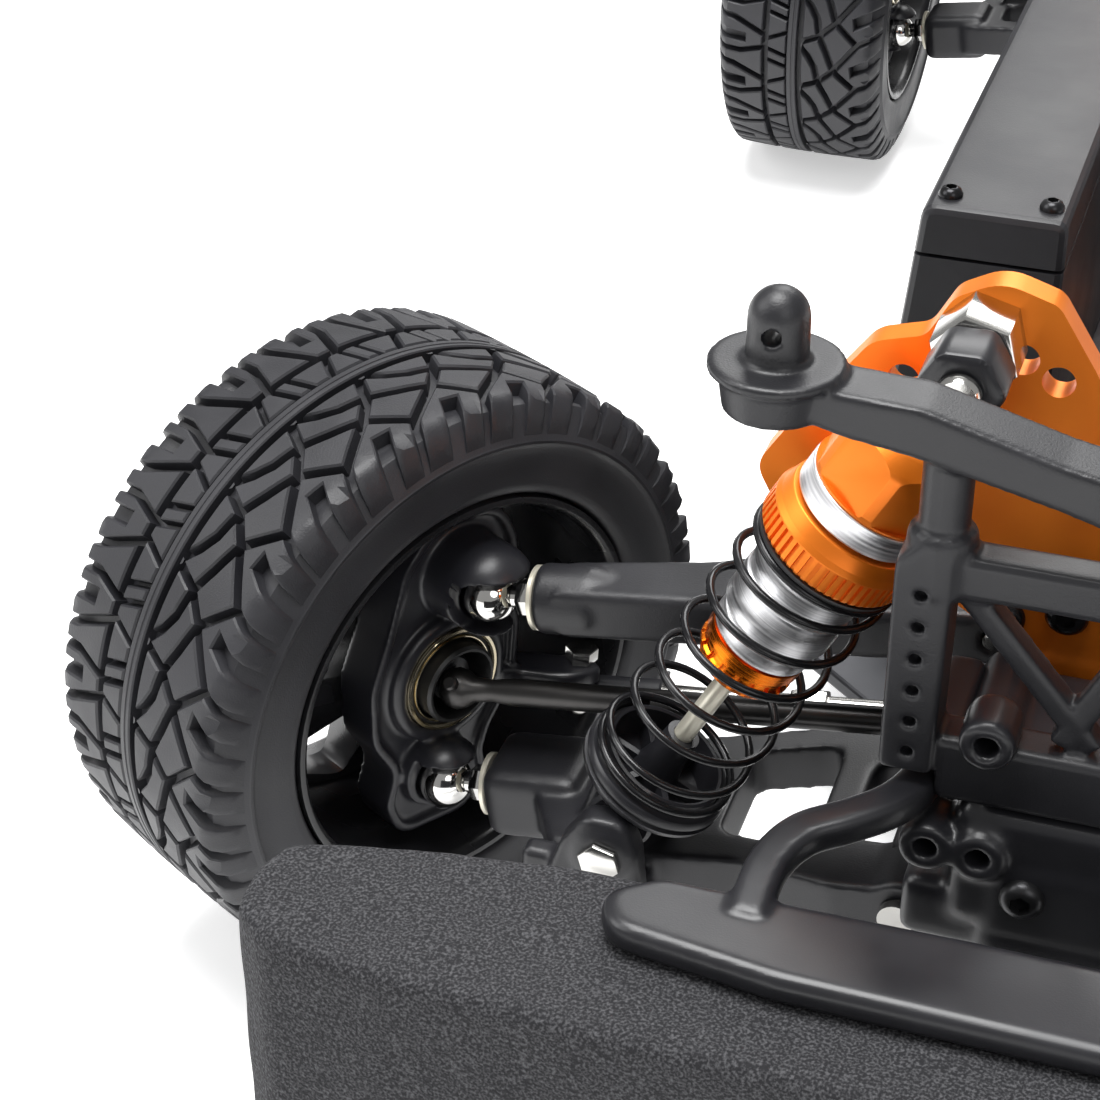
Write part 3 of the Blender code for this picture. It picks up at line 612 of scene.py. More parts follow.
BLACKENED = surface("blackened_steel", (0.006, 0.006, 0.006), (0.010, 0.010, 0.010), (0.35, 0.5), depth=8e-6)
SPRING = surface(
    "spring_enamel", (0.006, 0.006, 0.007), (0.010, 0.010, 0.011), (0.16, 0.26), depth=4e-6,
    **{"Specular IOR Level": 0.35},
)
ROD_STEEL = surface("bright_rod", (0.62, 0.59, 0.48), (0.74, 0.71, 0.60), (0.24, 0.34), 0.5, depth=2e-6)
SCREW = surface("black_screw", (0.020, 0.020, 0.022), (0.040, 0.040, 0.042), (0.22, 0.34), 0.8, depth=4e-6)
GUNMETAL = surface("anodised_plate", (0.035, 0.036, 0.04), (0.06, 0.061, 0.066), (0.3, 0.42), 0.8, depth=1e-5)
ALLOY = surface("bare_alloy", (0.55, 0.55, 0.57), (0.72, 0.72, 0.73), (0.24, 0.36), 1.0, depth=8e-6)
BATTERY = surface("battery_wrap", (0.012, 0.035, 0.11), (0.018, 0.050, 0.15), (0.18, 0.28), depth=3e-5)
SEAL = surface("seal_rubber", (0.010, 0.010, 0.011), (0.016, 0.016, 0.017), (0.5, 0.6))


# --- Tyres and rims ----------------------------------------------------------------------------------


def tread_top(t):
    t = abs(t)
    if t < 17:
        return TYRE_RADIUS - 0.4 * (t / 17) ** 2
    return TYRE_RADIUS - 0.4 - 5.2 * ((t - 17) / 3.8) ** 2.6


def tread_depth(t):
    return GROOVE_DEPTH * (1 - 0.55 * max(0.0, (abs(t) - 15) / 5.7))


def on_tread(t, s, lift):
    """A point of the tyre: t inwards along the axle, s round the tread, lift over the groove's floor."""
    radius = tread_top(t) - tread_depth(t) + lift * tread_depth(t)
    turn = s / TYRE_RADIUS
    return Vector((t, radius * math.cos(turn), radius * math.sin(turn)))


def offset(outline, distance):
    """The outline grown outwards by distance, at its corners too. It runs anticlockwise."""
    grown = []
    for i, point in enumerate(outline):
        before = (point - outline[i - 1]).normalized()
        after = (outline[(i + 1) % len(outline)] - point).normalized()
        normal = Vector((before.y, -before.x)) + Vector((after.y, -after.x))
        if normal.length < 1e-6:
            grown.append(point.copy())
            continue
        normal.normalize()
        share = max(0.45, normal.dot(Vector((before.y, -before.x))))
        grown.append(point + normal * distance / share)
    return grown


def anticlockwise(outline):
    area = sum(a.cross(b) for a, b in zip(outline, outline[1:] + outline[:1]))
    return outline if area > 0 else outline[::-1]


def dense(outline, spacing=1.3):
    points = []
    for a, b in zip(outline, outline[1:] + outline[:1]):
        steps = max(1, round((b - a).length / spacing))
        points += [a.lerp(b, i / steps) for i in range(steps)]
    return points


def inside(point, outline):
    hit = False
    for a, b in zip(outline, outline[1:] + outline[:1]):
        crosses = (a.y > point.y) != (b.y > point.y)
        if crosses and point.x < (b.x - a.x) * (point.y - a.y) / (b.y - a.y) + a.x:
            hit = not hit
    return hit


def grid_inside(outline, spacing=1.9, margin=0.7):
    """Points on a grid inside the outline, clear of its edge."""
    low = [min(p[i] for p in outline) for i in (0, 1)]
    high = [max(p[i] for p in outline) for i in (0, 1)]
    found = []
    for i in range(1, int((high[0] - low[0]) / spacing) + 1):
        for j in range(1, int((high[1] - low[1]) / spacing) + 1):
            point = Vector((low[0] + i * spacing, low[1] + j * spacing))
            sides = zip(outline, outline[1:] + outline[:1])
            gaps = [(geometry.intersect_point_line(point, a, b)[0] - point).length for a, b in sides]
            if inside(point, outline) and min(gaps) > margin:
                found.append(point)
    return found


def tread_block(outline, shrink):
    """One block of one pitch, as (rings and inner points on the tread, faces over them)."""
    rim = dense(anticlockwise(offset(anticlockwise([Vector(p) for p in outline]), -shrink)))
    inner = offset(rim, -0.28)
    count = len(rim)
    extra = grid_inside(inner)
    flat = geometry.delaunay_2d_cdt(inner + extra, [], [list(range(count))], 1, 1e-5)
    points = [(p, -0.05) for p in offset(rim, 0.3)] + [(p, 0.86) for p in rim]
    points += [(p, 1.0) for p in flat[0]]
    faces = [[2 * count + i for i in face] for face in flat[2]]
    for base in (0, count):
        for i in range(count):
            j = (i + 1) % count
            faces.append([base + i, base + j, base + count + j, base + count + i])
    return points, faces


def pitch_blocks():
    """The blocks of one pitch, drawn as (t, s) outlines between the middles of the grooves."""
    p = PITCH
    cut = ((1.0, -6.2), (6.1, -3.9), (10.0, 0.0))
    below = [(t, s + p) for t, s in cut]
    tip = (15.7, -5.2)
    tip_below = (15.7, p - 5.2)
    edge = TREAD_EDGE + 0.65
    diagonal = [(8.1, 5.0), below[1]]
    tail = [(6.1, -3.9), (5.2, 0.6), (3.6, 3.4), (1.0, 6.3)]
    slit = [(edge, 4.9), (15.0, 1.3), (15.2, 0.0), (edge, 3.4)]
    wide = [
        [cut[2], tip_below, below[2], *diagonal[::-1]],
        [*tail, below[0], below[1], diagonal[0], cut[2]],
        [cut[0], *tail],
        [tip, cut[2], tip_below, (edge, p - 2.0), *slit, (edge, -2.0)],
        [(-7.8, 4.2), (-14.2, 2.3), (-edge, 3.0), (-edge, 6.4), (-13.6, 5.6), (-13.6, 6.6), (-edge, 7.6),
         (-edge, p - 0.6), (-16.0, p - 1.7), (-7.8, p - 5.6)],
        [(-7.8, -5.6), (-16.0, -1.7), (-edge, -0.6), (-edge, 3.0), (-14.2, 2.3), (-7.8, 4.2)],
    ]
    small = [
        [(-7.6, -6.5), (-1.8, -3.9), (-1.8, -0.7), (-7.6, 1.1)],
        [(-7.6, 1.1), (-1.8, -0.7), (-1.8, 2.3), (-7.6, 4.2)],
        [(-7.6, 4.2), (-1.8, 2.3), (-1.8, p - 3.9), (-7.6, p - 6.5)],
    ]
    return [tread_block(shape, 0.76) for shape in wide] + [tread_block(shape, 0.54) for shape in small]


def tyre_mesh():
    """A carcass with a moulded bead ring, a centre rib, and the tread's blocks, pitch by pitch."""
    shift = Matrix.Translation((WHEEL_OFFSET, 0, 0))
    steps = [-TREAD_EDGE + 2 * TREAD_EDGE * i / 36 for i in range(37)]
    floor = [(t, tread_top(t) - tread_depth(t)) for t in steps]
    side = [(20.9, 43.5), (21.05, 43.0), (21.3, 42.75), (21.3, 42.3), (21.0, 42.05), (20.75, 41.4)]
    side += [(20.5, 40.0), (20.45, 38.0), (20.6, 35.6), (20.4, 34.4), (19.9, 33.7), (19.2, 33.35)]
    side += [(18.6, 33.3)]
    inner = [(18.6, 36.0), (17.5, 45.0)]
    whole = lathe(reflected(side) + floor + side + inner + reflected(inner), shift, 192)
    rib = [(-2.05, 47.5), (-2.05, 49.75), (-1.85, 49.97), (-0.95, 50.0), (-0.85, 49.85), (-0.55, 49.85)]
    rib += [(-0.45, 50.0), (0.1, 49.98), (0.3, 49.75), (0.3, 47.5)]
    parts = [whole, lathe(rib, shift, 192)]
    phase = math.radians(122.7) * TYRE_RADIUS
    blocks = pitch_blocks()
    bm = bmesh.new()
    for pitch in range(PITCHES):
        for points, faces in blocks:
            places = [on_tread(p.x, p.y + phase + pitch * PITCH, lift) for p, lift in points]
            verts = [bm.verts.new(shift @ place) for place in places]
            for face in faces:
                bm.faces.new([verts[i] for i in face])
    parts.append(finished(bm))
    return gathered(parts)


def rim_mesh():
    """A deep barrel with rolled lips, and a dished face with a window between each pair of spokes."""
    shift = Matrix.Translation((WHEEL_OFFSET, 0, 0))
    profile = [(15.4, 0), (15.4, 3.6), (14.6, 4), (4.8, 4), (4.8, 9.5), (2.6, 10.6), (-6.5, 27.0)]
    profile += [(-7.5, 30.6), (18.0, 31.0), (19.6, 31.4), (20.2, 32.1), (20.2, 33.0), (18.2, 33.05)]
    profile += [(16, 32.9), (-18.2, 32.9), (-20.2, 33.0), (-20.2, 32.0), (-19.0, 31.2), (-14.5, 30.6)]
    profile += [(-13.4, 28.5), (-10.2, 11.0), (-11.4, 9.0), (-12.0, 0)]
    windows = []
    for spoke in range(SPOKES):
        turn = Matrix.Rotation(FIRST_WINDOW + TAU * spoke / SPOKES, 4, "Z")
        outline = fillet(((13.2, -3.6), (28.6, -9.4), (28.6, 9.4), (13.2, 3.6)), 2.6, 4)
        windows.append(prism(outline, -25, 4, shift @ WHEEL_FACE @ turn))
    return carved([lathe(profile, shift, 96)], windows, 0.5, 45)


def wheels():
    on_corners("tyre_tread", tyre_mesh(), TYRE, "wheel", "tyre", wheel=True, sharp=32)
    on_corners("rim_shell", rim_mesh(), RIM, "wheel", "rim", wheel=True)
    shift = Matrix.Translation((WHEEL_OFFSET, 0, 0))
    nut = [hexagon((-19.5, 0, 0), (-12.4, 0, 0), 17.0, shift, 0.9)]
    face = [(-19.9, 0), (-19.9, 2.9), (-20.2, 3.4), (-20.2, 4.6), (-12.2, 4.6), (-12.2, 0)]
    nut.append(lathe(face, shift, 48))
    on_corners("wheel_nut", gathered(nut), ORANGE, "wheel", wheel=True)


# --- Shock absorbers -----------------------------------------------------------------------------------


def shock_cap_mesh():
    """The filler cap: a turned cap with six flats over a round skirt."""
    profile = [(68.9, 0), (68.9, 9.4), (70.0, 9.6), (77.4, 9.6, 2.0), (80.2, 7.0, 1.6), (80.6, 0)]
    flats = turned(6, SHOCK, (69.4, 8.7, -12), (90, 20, 12), phase=0.5)
    return carved([lathe(fillet(profile, 0.3, 4), SHOCK, 96)], flats, 0)


def collar_mesh():
    """The spring's height collar, with fine vertical knurls round its lower half."""
    profile = [(57.4, 8.2), (57.4, 10.6), (58.0, 11.0), (61.6, 11.0), (62.4, 10.6), (64.4, 10.0), (64.6, 8.2)]
    knurls = turned(54, SHOCK, (57.0, 10.35, -0.3), (61.4, 12, 0.3))
    return carved([lathe(fillet(profile, 0.3, 3), SHOCK, 108)], [gathered(knurls)], 0)


def shock_body_mesh():
    tube = [(38.4, 1.8), (38.4, 6.6), (39.2, 7.4), (42.0, 7.4), (42.3, 6.9), (43.0, 6.9), (43.3, 8.1)]
    tube += [(49.0, 8.1), (49.4, 7.6), (50.2, 7.6), (50.6, 8.1), (55.5, 8.1), (56.2, 7.7), (56.6, 7.7)]
    tube += [(56.6, 8.2), (65.0, 8.2), (65.0, 9.6), (68.9, 9.6), (68.9, 1.8)]
    return lathe(tube, SHOCK, 72, 0.25)


def cartridge_mesh():
    """The lower seal carrier, ribbed for grip."""
    profile = [(32.0, 1.8), (32.0, 4.4), (32.7, 6.2), (34.6, 7.2), (35.0, 7.2), (35.3, 6.8), (36.6, 6.8)]
    profile += [(36.9, 7.3), (38.6, 7.3), (38.6, 1.8)]
    ribs = turned(18, SHOCK, (32.4, 6.3, -0.35), (36.0, 7.4, 0.35), 0.12)
    return carved([lathe(profile, SHOCK, 72)], [gathered(ribs)], 0)


def shock_head_mesh():
    """The black rod end that holds the head's ball."""
    frame = SHOCK @ Matrix.Translation((SHOCK_LENGTH, 0, 0)) @ UPRIGHT
    shapes = [
        lathe([(80.2, 0), (80.2, 4.4), (84.5, 4.2), (87.0, 3.6), (87.0, 0)], SHOCK, 48, 0.2),
        prism(fillet(circle(6.0, 6), 2.2, 5), -4.2, 4.2, frame, 0.9),
    ]
    return carved(shapes, [rod(*ACROSS_HEAD, 2.3, SHOCK, 32)], 0.3, 45)


def spring_cup_mesh():
    """The lower spring cup with its two grooved rims, webs inside, and the foot's eye."""
    cup = [(4.6, 0), (4.6, 8.4), (6.6, 10.3), (7.2, 11.0), (8.0, 11.2), (8.3, 10.7), (8.7, 10.7)]
    cup += [(9.0, 11.2), (9.9, 11.2), (10.3, 10.9), (10.4, 9.5), (12.0, 9.3), (12.2, 8.9), (12.0, 8.5)]
    cup += [(7.0, 7.9), (6.6, 0)]
    neck = [(1, 0), (1, 3.4), (6, 4.2), (12.5, 2.8), (17.0, 2.5), (17.0, 0)]
    shapes = [lathe(cup, SHOCK, 72), lathe(neck, SHOCK, 48)]
    shapes += turned(6, SHOCK, (6.2, 2.0, -0.5), (9.6, 8.3, 0.5), phase=0.5)
    shapes.append(rod((0, -4, 0), (0, 4, 0), 4.9, SHOCK, 40, 0.6))
    cuts = [rod((0, -6, 0), (0, 6, 0), 2.6, SHOCK, 32), rod((8, 0, 0), (19, 0, 0), 1.6, SHOCK, 24)]
    return carved(shapes, cuts, 0.15, 50)


def spring_mesh():
    """The coil, with its two end turns closed up."""
    low, high, turns, radius, wire = 11.3, 56.5, 7.9, 10.35, 0.62
    steps = round(turns * 40)
    path = []
    for i in range(steps + 1):
        turn = turns * i / steps
        body = min(max((turn - 1) / (turns - 2), 0.0), 1.0)
        rise = low + 1.3 * (min(turn, 1.0) + max(0.0, turn - turns + 1)) + (high - low - 2.6) * body
        spin = TAU * turn + 0.6
        path.append(Vector((rise, radius * math.cos(spin), radius * math.sin(spin))))
    return sweep(path, circle(wire, 12), SHOCK)


def shocks():
    """The shock absorbers, with each spring a fixed coil set between the rod's cup and the body's collar."""
    body, rod_body = "shock_body", "shock_rod"
    on_corners("shock_tube", shock_body_mesh(), SILVER_TURNED, body, "shock_body")
    on_corners("shock_cap", shock_cap_mesh(), ORANGE, body, sharp=27)
    on_corners("shock_collar", collar_mesh(), ORANGE, body, sharp=25)
    on_corners("shock_cartridge", cartridge_mesh(), ORANGE_TURNED, body)
    on_corners("shock_head", shock_head_mesh(), NYLON_SMOOTH, body)
    head_ball = carved([ball((SHOCK_LENGTH, 0, 0), 3.4, SHOCK)], [rod(*ACROSS_HEAD, 1.75, SHOCK, 24)], 0)
    on_corners("shock_head_ball", head_ball, STEEL, body)
    collar_seal = lathe([(56.5, 8.6), (56.5, 10.6), (57.3, 10.9), (57.5, 8.6)], SHOCK, 64)
    on_corners("shock_seal", collar_seal, SEAL, body)
    stem = lathe([(9, 0), (9, 1.5), (52, 1.5), (52, 0)], SHOCK, 32)
    on_corners("shock_stem", stem, ROD_STEEL, rod_body, "shock_rod")
    on_corners("spring_cup", spring_cup_mesh(), NYLON_SMOOTH, rod_body)
    coil = mesh_of(spring_mesh())
    for place in CORNERS:
        nodes = [f"{place.name}_spring"]
        obj = piece(f"{place.name}_coil", coil, place.frame, SPRING, None, nodes)
        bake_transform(obj)


# --- Knuckles and drive shafts ---------------------------------------------------------------------------


def in_wheel_axes(point, camber):
    """A point of the corner's axes, in the axes of its wheel."""
    return Matrix.Rotation(-camber, 3, "Y") @ Vector(point)


def knuckle_mesh(sy):
    """The upright: a plate with a raised lip, a bearing housing, and a domed socket above and below it."""
    upper = in_wheel_axes(UPPER_BALL, CAMBER[sy])
    lower = in_wheel_axes(LOWER_BALL, CAMBER[sy])
    outline = [(-8.6, -27.5, 6), (-11.5, -21, 5), (-9.8, -15, 5), (-14.6, -8, 7), (-15.4, 2, 9)]
    outline += [(-12.4, 11, 9), (-9.6, 22, 8), (-4, 28.6, 8), (9, 28.6, 8), (13.2, 21, 8)]
    outline += [(12.4, 11, 6), (14.6, 5, 6), (14.6, -5, 6), (9.6, -13, 6), (8.4, -17, 5)]
    outline += [(9.8, -23, 6), (5, -27.5, 5)]
    outline = fillet(outline, 0, 5)
    shapes = [
        prism(outline, -12.6, -5.7, WHEEL_FACE),
        band(outline, 1.5, -7.0, -4.5, WHEEL_FACE),
        rod((-13.7, 0, 0), (-3.6, 0, 0), 11.4, segments=64, edge=0.8),
    ]
    for centre, radius in ((upper, 7.5), (lower, 6.5)):
        dome = centre + Vector((-0.5, 0, 1.0))
        shapes.append(ball(dome, radius, segments=48))
        shapes.append(rod((-11, dome.y, dome.z), dome, radius - 0.05, segments=48))
    if sy < 0:
        tip = in_wheel_axes((0, STEER_RADIUS, -5), CAMBER[sy])
        bend = ((-8, 6, -3), (-6, 15, -5), tip - Vector((0.4, 3, 0)), tip + Vector((0, 1.5, 0)))
        shapes.append(sweep(smooth_path(bend), rounded_box(7, 3.6, 1.2), up=UP))
    cuts = [rod((start, 0, 0), (2, 0, 0), radius, segments=64) for start, radius in ((-5.2, 9.0), (-20, 7.2))]
    slot = fillet(((-7.2, -5.0), (7.2, -5.0), (7.2, 4.8), (-7.2, 4.8)), 3)
    for centre in (upper, lower):
        there = Matrix.Translation(centre)
        cuts.append(ball(centre, 4.9, segments=32))
        cuts.append(prism(slot, -1.5, 12, there @ WHEEL_FACE))
        cuts.append(block((6.0, -12, -12), (20, 12, 12), there, 0))
    return moulded(shapes, cuts, 0.36, 2)


def bearing_meshes():
    """The bearing's two races, and the seal between them."""
    outer = [(-5.1, 8.1), (-5.1, 9.0), (-3.6, 9.0), (-3.2, 8.8), (-3.2, 8.35), (-3.5, 8.1)]
    inner = [(-5.1, 7.1), (-5.1, 7.6), (-3.75, 7.6), (-3.5, 7.45), (-3.5, 7.3), (-3.7, 7.1)]
    seal = [(-5.0, 7.6), (-5.0, 8.1), (-3.95, 8.1), (-3.95, 7.6)]
    return gathered([lathe(race, segments=96) for race in (outer, inner)]), lathe(seal, segments=96)


def axle_cup_mesh():
    """The cup at the inner end of the wheel's axle, which takes the drive shaft's ball."""
    tube = [(-13.5, 0), (-13.5, 6.7), (-1.6, 6.7), (-1.1, 6.3), (-1.1, 5.9), (-2.4, 5.3), (-9.5, 5.3)]
    return lathe(tube + [(-10, 0)], segments=64)


def drive_shaft_mesh():
    """A shaft with a ball and a cross pin at either end."""
    frame = along((0, 0, 0), ARM_SPAN)
    span = ARM_SPAN.length
    half = [(-4.5, 0), (-4.1, 1.7), (-3.0, 2.9), (-1.4, 3.35), (0.2, 2.9), (1.5, 2.0), (4.5, 1.75)]
    half.append((7.5, 2.15))
    profile = half + [(span - x, radius) for x, radius in reversed(half)]
    shapes = [lathe(profile, frame, 48)]
    for x in (-1.4, span + 1.4):
        shapes.append(rod((x, 0, -4.4), (x, 0, 4.4), 1.15, frame, 24))
    return gathered(shapes)


def uprights():
    rings, seal = bearing_meshes()
    on_corners("bearing_races", rings, GOLD, "knuckle", wheel=True)
    on_corners("bearing_seal", seal, SEAL, "knuckle", wheel=True)
    on_corners("axle_cup", axle_cup_mesh(), BLACKENED, "wheel", wheel=True)
    shaft = drive_shaft_mesh()
    on_corners("cardan_shaft", shaft, DARK_STEEL, "drive_shaft", "drive_shaft")
    for sy, places in ((-1, CORNERS[:2]), (1, CORNERS[2:])):
        mesh = knuckle_mesh(sy)
        on_corners("upright", mesh, KNUCKLE, "knuckle", "knuckle", places, True, 60)
    tip = in_wheel_axes((0, STEER_RADIUS, -5), CAMBER[-1])
    stud = [rod(tip + UP * 2.4, tip - UP * 8.2, 1.15), ball(tip - UP * 6.1, 2.45)]
    stud.append(hexagon(tip + UP * 1.8, tip + UP * 4.2, 4.6))
    on_corners("steering_stud", gathered(stud), STEEL, "knuckle", None, CORNERS[:2], True)


# --- Suspension arms -----------------------------------------------------------------------------------


def upper_arm_mesh():
    """A chamfered bar that widens to a forked hinge."""
    frame = arm_axes(UPPER_BALL)
    span = ARM_SPAN.length
    plan = [(12, -2.9, 0), (40, -2.7, 6), (60, -3.0, 3), (67, -2.2, 2), (span + 1, -2.0, 0)]
    plan += [(span + 1, 4.7, 0), (68.5, 4.7, 2.5), (68.5, 13.3, 2.5), (span + 1, 13.3, 0), (span + 1, 20, 0)]
    plan += [(63, 19.4, 6), (34, 9.4, 12), (12, 6.9, 0)]
    neck = [(8.5, 0), (8.5, 5.0), (8.9, 5.4), (17, 5.4), (24, 3.2), (24, 0)]
    shapes = [
        prism(fillet(plan, 0), -4.2, 4.2, frame, 1.3),
        lathe(neck, frame @ Matrix.Translation((0, 2, 0)), 48),
    ]
    for low, high in UPPER_EYES:
        shapes.append(rod((span, low, 0), (span, high, 0), 4.5, frame, 40, 0.5))
    cuts = [rod((span, -6, 0), (span, 24, 0), 1.85, frame, 24)]
    cuts.append(prism(fillet(((36, 0.4), (60, 0.8), (60, 12.4), (46, 9.0)), 2.2), 1.9, 9, frame))
    return moulded(shapes, cuts, 0.45, 2)


def lower_arm_mesh():
    """An A-shaped arm with rounded windows, a boxed neck, and two ears for the shock's foot."""
    frame = arm_axes(LOWER_BALL)
    span = ARM_SPAN.length
    front, back = LOWER_EYES[0]
    plan = [(18, -8.5, 3), (24, -19.5, 4), (38, -20.8, 8), (54, -20.2, 12), (68, front, 4)]
    plan += [(span + 1, front, 0), (span + 1, back, 0), (68.5, back, 3), (68.5, 7, 3), (span + 1, 7, 0)]
    plan += [(span + 1, 17, 0), (66, 17.4, 5), (40, 10, 14), (18, 6.5, 3)]
    shapes = [
        prism(fillet(plan, 0, 5), -3.9, 3.9, frame, 0.6),
        block((8.6, -8.8, -6), (25, 6, 6), frame, 2.4),
        block((24, -33, -3.7), (40.5, -14, 2.4), frame, 1.2),
    ]
    for low, high in LOWER_EYES:
        shapes.append(rod((span, low, 0), (span, high, 0), 5.0, frame, 40, 0.5))
    ear = [(21.5, -13, 2), (38.6, -10.5, 2), (37.6, 1.5, 3), (35.6, 6.6, 3), (29.6, 6.6, 3), (26.0, 1.5, 3)]
    shapes.append(prism(fillet(ear, 0, 5), -33, -28.4, UPRIGHT, 0.5))
    shapes.append(prism(fillet(ear, 0, 5), -13, -9.4, UPRIGHT, 0.5))
    shapes.append(rod((32.5, -33.8, 0.5), (32.5, -31, 0.5), 4.4, Matrix(), 40))
    shapes.append(block((19.5, -31, -11.5), (27, -27, -3.0), Matrix(), 0.9))
    windows = [
        prism(fillet(((49, -13.5), (63, -15.5), (63, 10.5), (49, 7)), 3.2, 5), -10, 10, frame),
        prism(fillet(((29, -8), (44, -10.5), (44, 5), (29, 2.5)), 2.6, 5), -10, 10, frame),
        rod((23.0, -35, -7.6), (23.0, -20, -7.6), 1.15),
        rod((span, -40, 0), (span, 30, 0), 1.85, frame, 24),
    ]
    return moulded(shapes, windows, 0.5, 2)


def arms():
    upper, lower = arm_axes(UPPER_BALL), arm_axes(LOWER_BALL)
    on_corners("upper_link", upper_arm_mesh(), NYLON, "upper_arm", "upper_arm", sharp=50)
    on_corners("lower_wishbone", lower_arm_mesh(), NYLON, "lower_arm", "lower_arm", sharp=50)
    for part, frame, centre in (("upper", upper, UPPER_BALL), ("lower", lower, LOWER_BALL)):
        seat = frame @ Matrix.Translation((0, centre.y, 0))
        neck = [hexagon((4.9, centre.y, 0), (7.4, centre.y, 0), 5.0, frame, 0.35)]
        neck.append(lathe([(3.4, 0), (3.4, 1.8), (8.6, 1.8), (8.6, 0)], seat, 32))
        on_corners(f"{part}_stud_neck", gathered(neck), CHROME, f"{part}_arm")
        washer = lathe([(7.5, 1.8), (7.5, 4.6), (7.7, 5.0), (8.3, 5.0), (8.5, 4.8), (8.5, 1.8)], seat, 64)
        on_corners(f"{part}_washer", washer, CREAM, f"{part}_arm")
    joint = ball(UPPER_BALL, BALL_RADIUS, segments=48)
    on_corners("upper_ball", joint, CHROME, "upper_arm")
    joint = mesh_of(ball(LOWER_BALL, BALL_RADIUS, segments=48))
    on_corners("lower_ball", joint, CHROME, "pivot_ball", "pivot_ball", CORNERS[:2])
    on_corners("lower_ball", joint, CHROME, "lower_arm", None, CORNERS[2:])
    screw = [rod((32.5, -33.4, 0.5), (32.5, -10, 0.5), 1.5)]
    screw.append(hexagon((32.5, -35.0, 0.5), (32.5, -33.7, 0.5), 5.6, edge=0.4))
    on_corners("shock_screw", gathered(screw), STEEL, "lower_arm")


# --- The pieces at each end of the car -------------------------------------------------------------------

# The case's bosses, as u, v, w and length
BOSSES = (
    (77.5, -31, 11.6, 12),
    (84.7, -31, 11.4, 12),
    (84.2, -31, 30.1, 20),
    (79.6, -45.5, 23.7, 8),
    (86.4, -45.5, 23.5, 8),
    (85.9, -45.5, 41.3, 8),
)


def both_sides(u, v, w):
    """The two places of a corner's point, in the axes of one end of the car."""
    return [Vector((side * (KINGPIN_X - u), v, AXLE_Z + w)) for side in (-1, 1)]


def screw_head(centre, towards, radius=2.9, place=Matrix()):
    """A button head with a hexagonal socket."""
    towards = Vector(towards).normalized()
    frame = place @ along(centre, Vector(centre) + towards)
    profile = [(-0.3, 0), (-0.3, radius), (0.5, radius), (1.3, radius * 0.8), (1.7, radius * 0.5), (1.75, 0)]
    socket = hexagon((0.7, 0, 0), (3, 0, 0), radius * 0.85, frame, 0)
    head = bmesh.new()
    head.from_mesh(carved([lathe(profile, frame, 32)], [socket], 0))
    return head


def on_end(name, mesh, sy, material, nodes=(), sharp=38):
    return piece(name, mesh_of(mesh), CAR @ end_axes(sy), material, "chassis", nodes, sharp)


def gear_case_mesh():
    """The differential's case with its bosses, its hinge lugs and the shafts' housings."""
    shapes = [
        block((-22, -44, 31.3), (22, 15.5, 74), edge=2.5),
        block((-21, -3.1, 60), (21, 15, 93), edge=2.5),
        block((-26, -43.5, 61), (26, -8.3, 80), edge=2.0),
    ]
    for side in (-1, 1):
        xs = sorted((side * 20, side * LOWER_HINGE[0] + side * 3.6))
        shapes.append(block((xs[0], -16.6, 38.9), (xs[1], 6.6, 48.5), edge=2.0))
        xs = sorted((side * 20, side * UPPER_HINGE[0] + side * 3.4))
        shapes.append(block((xs[0], 5.1, 74.0), (xs[1], 12.9, 81.8), edge=1.8))
        shapes.append(rod((side * 20, 0, SHAFT_Z), (side * 25.5, 0, SHAFT_Z), 10.5, segments=48, edge=1))
        for u, v, w, depth in BOSSES:
            x = side * (KINGPIN_X - u)
            shapes.append(rod((x, v, AXLE_Z + w), (x, v + depth, AXLE_Z + w), 3.7, segments=32, edge=0.5))
        shapes.append(block((side * 26.5 - 5.5, -42.5, 56.5), (side * 26.5 + 5.5, -24, 66), edge=1.5))
        shapes.append(rod((side * 23.4, -40, 60), (side * 23.4, -40, 90), 1.9))
        for x, y in ((side * 18, 12.0), (side * 18, 1.0)):
            shapes.append(rod((x, y, 88), (x, y, 94), 3.6, segments=24))
    cuts = [block((-40, -46, 60.3), (40, -42.6, 61.1), edge=0)]
    cuts.append(block((-19, -46, 40), (19, -43.2, 56), edge=0))
    for side in (-1, 1):
        for u, v, w, depth in BOSSES:
            x = side * (KINGPIN_X - u)
            cuts.append(rod((x, v - 1, AXLE_Z + w), (x, v + 6, AXLE_Z + w), 1.6, segments=24))
        cuts.append(rod((side * 24, 0, SHAFT_Z), (side * 36, 0, SHAFT_Z), 7.4, segments=32))
    return moulded(shapes, cuts, 0.62, 2)


def hinge_meshes():
    """The hinge pins and the screws that close the case."""
    steel, screws = [], []
    for side in (-1, 1):
        for (x, z), front, back in ((LOWER_HINGE, -25.0, 18.3), (UPPER_HINGE, -2.6, 21.8)):
            steel.append(rod((side * x, front, z), (side * x, back, z), 1.5))
        head = facing(side * LOWER_HINGE[0], LOWER_HINGE[1])
        steel.append(lathe([(-25.5, 0), (-25.5, 2.6), (-23.9, 2.6), (-23.9, 0)], head, 24))
        for x, y in ((side * 18, 12.0), (side * 18, 1.0)):
            screws.append(screw_head((x, y, 94.2), (0, 0, 1)))
        for x, z in ((side * 16, 37), (side * 16, 68)):
            screws.append(screw_head((x, -44.1, z), (0, -1, 0)))
    return gathered(steel), gathered(screws)


def outdrive_mesh():
    """The cups of the differential, one on each side, slotted for the drive shafts."""
    cups = []
    for side in (-1, 1):
        frame = axes((0, 0, SHAFT_Z), (side, 0, 0), (0, 1, 0), (0, 0, side))
        tube = [(22, 0), (22, 6.9), (33.6, 6.9), (34.4, 6.4), (34.4, 5.5), (26, 5.2), (25.5, 0)]
        cups.append(lathe(tube, frame, 56))
    return gathered(cups)


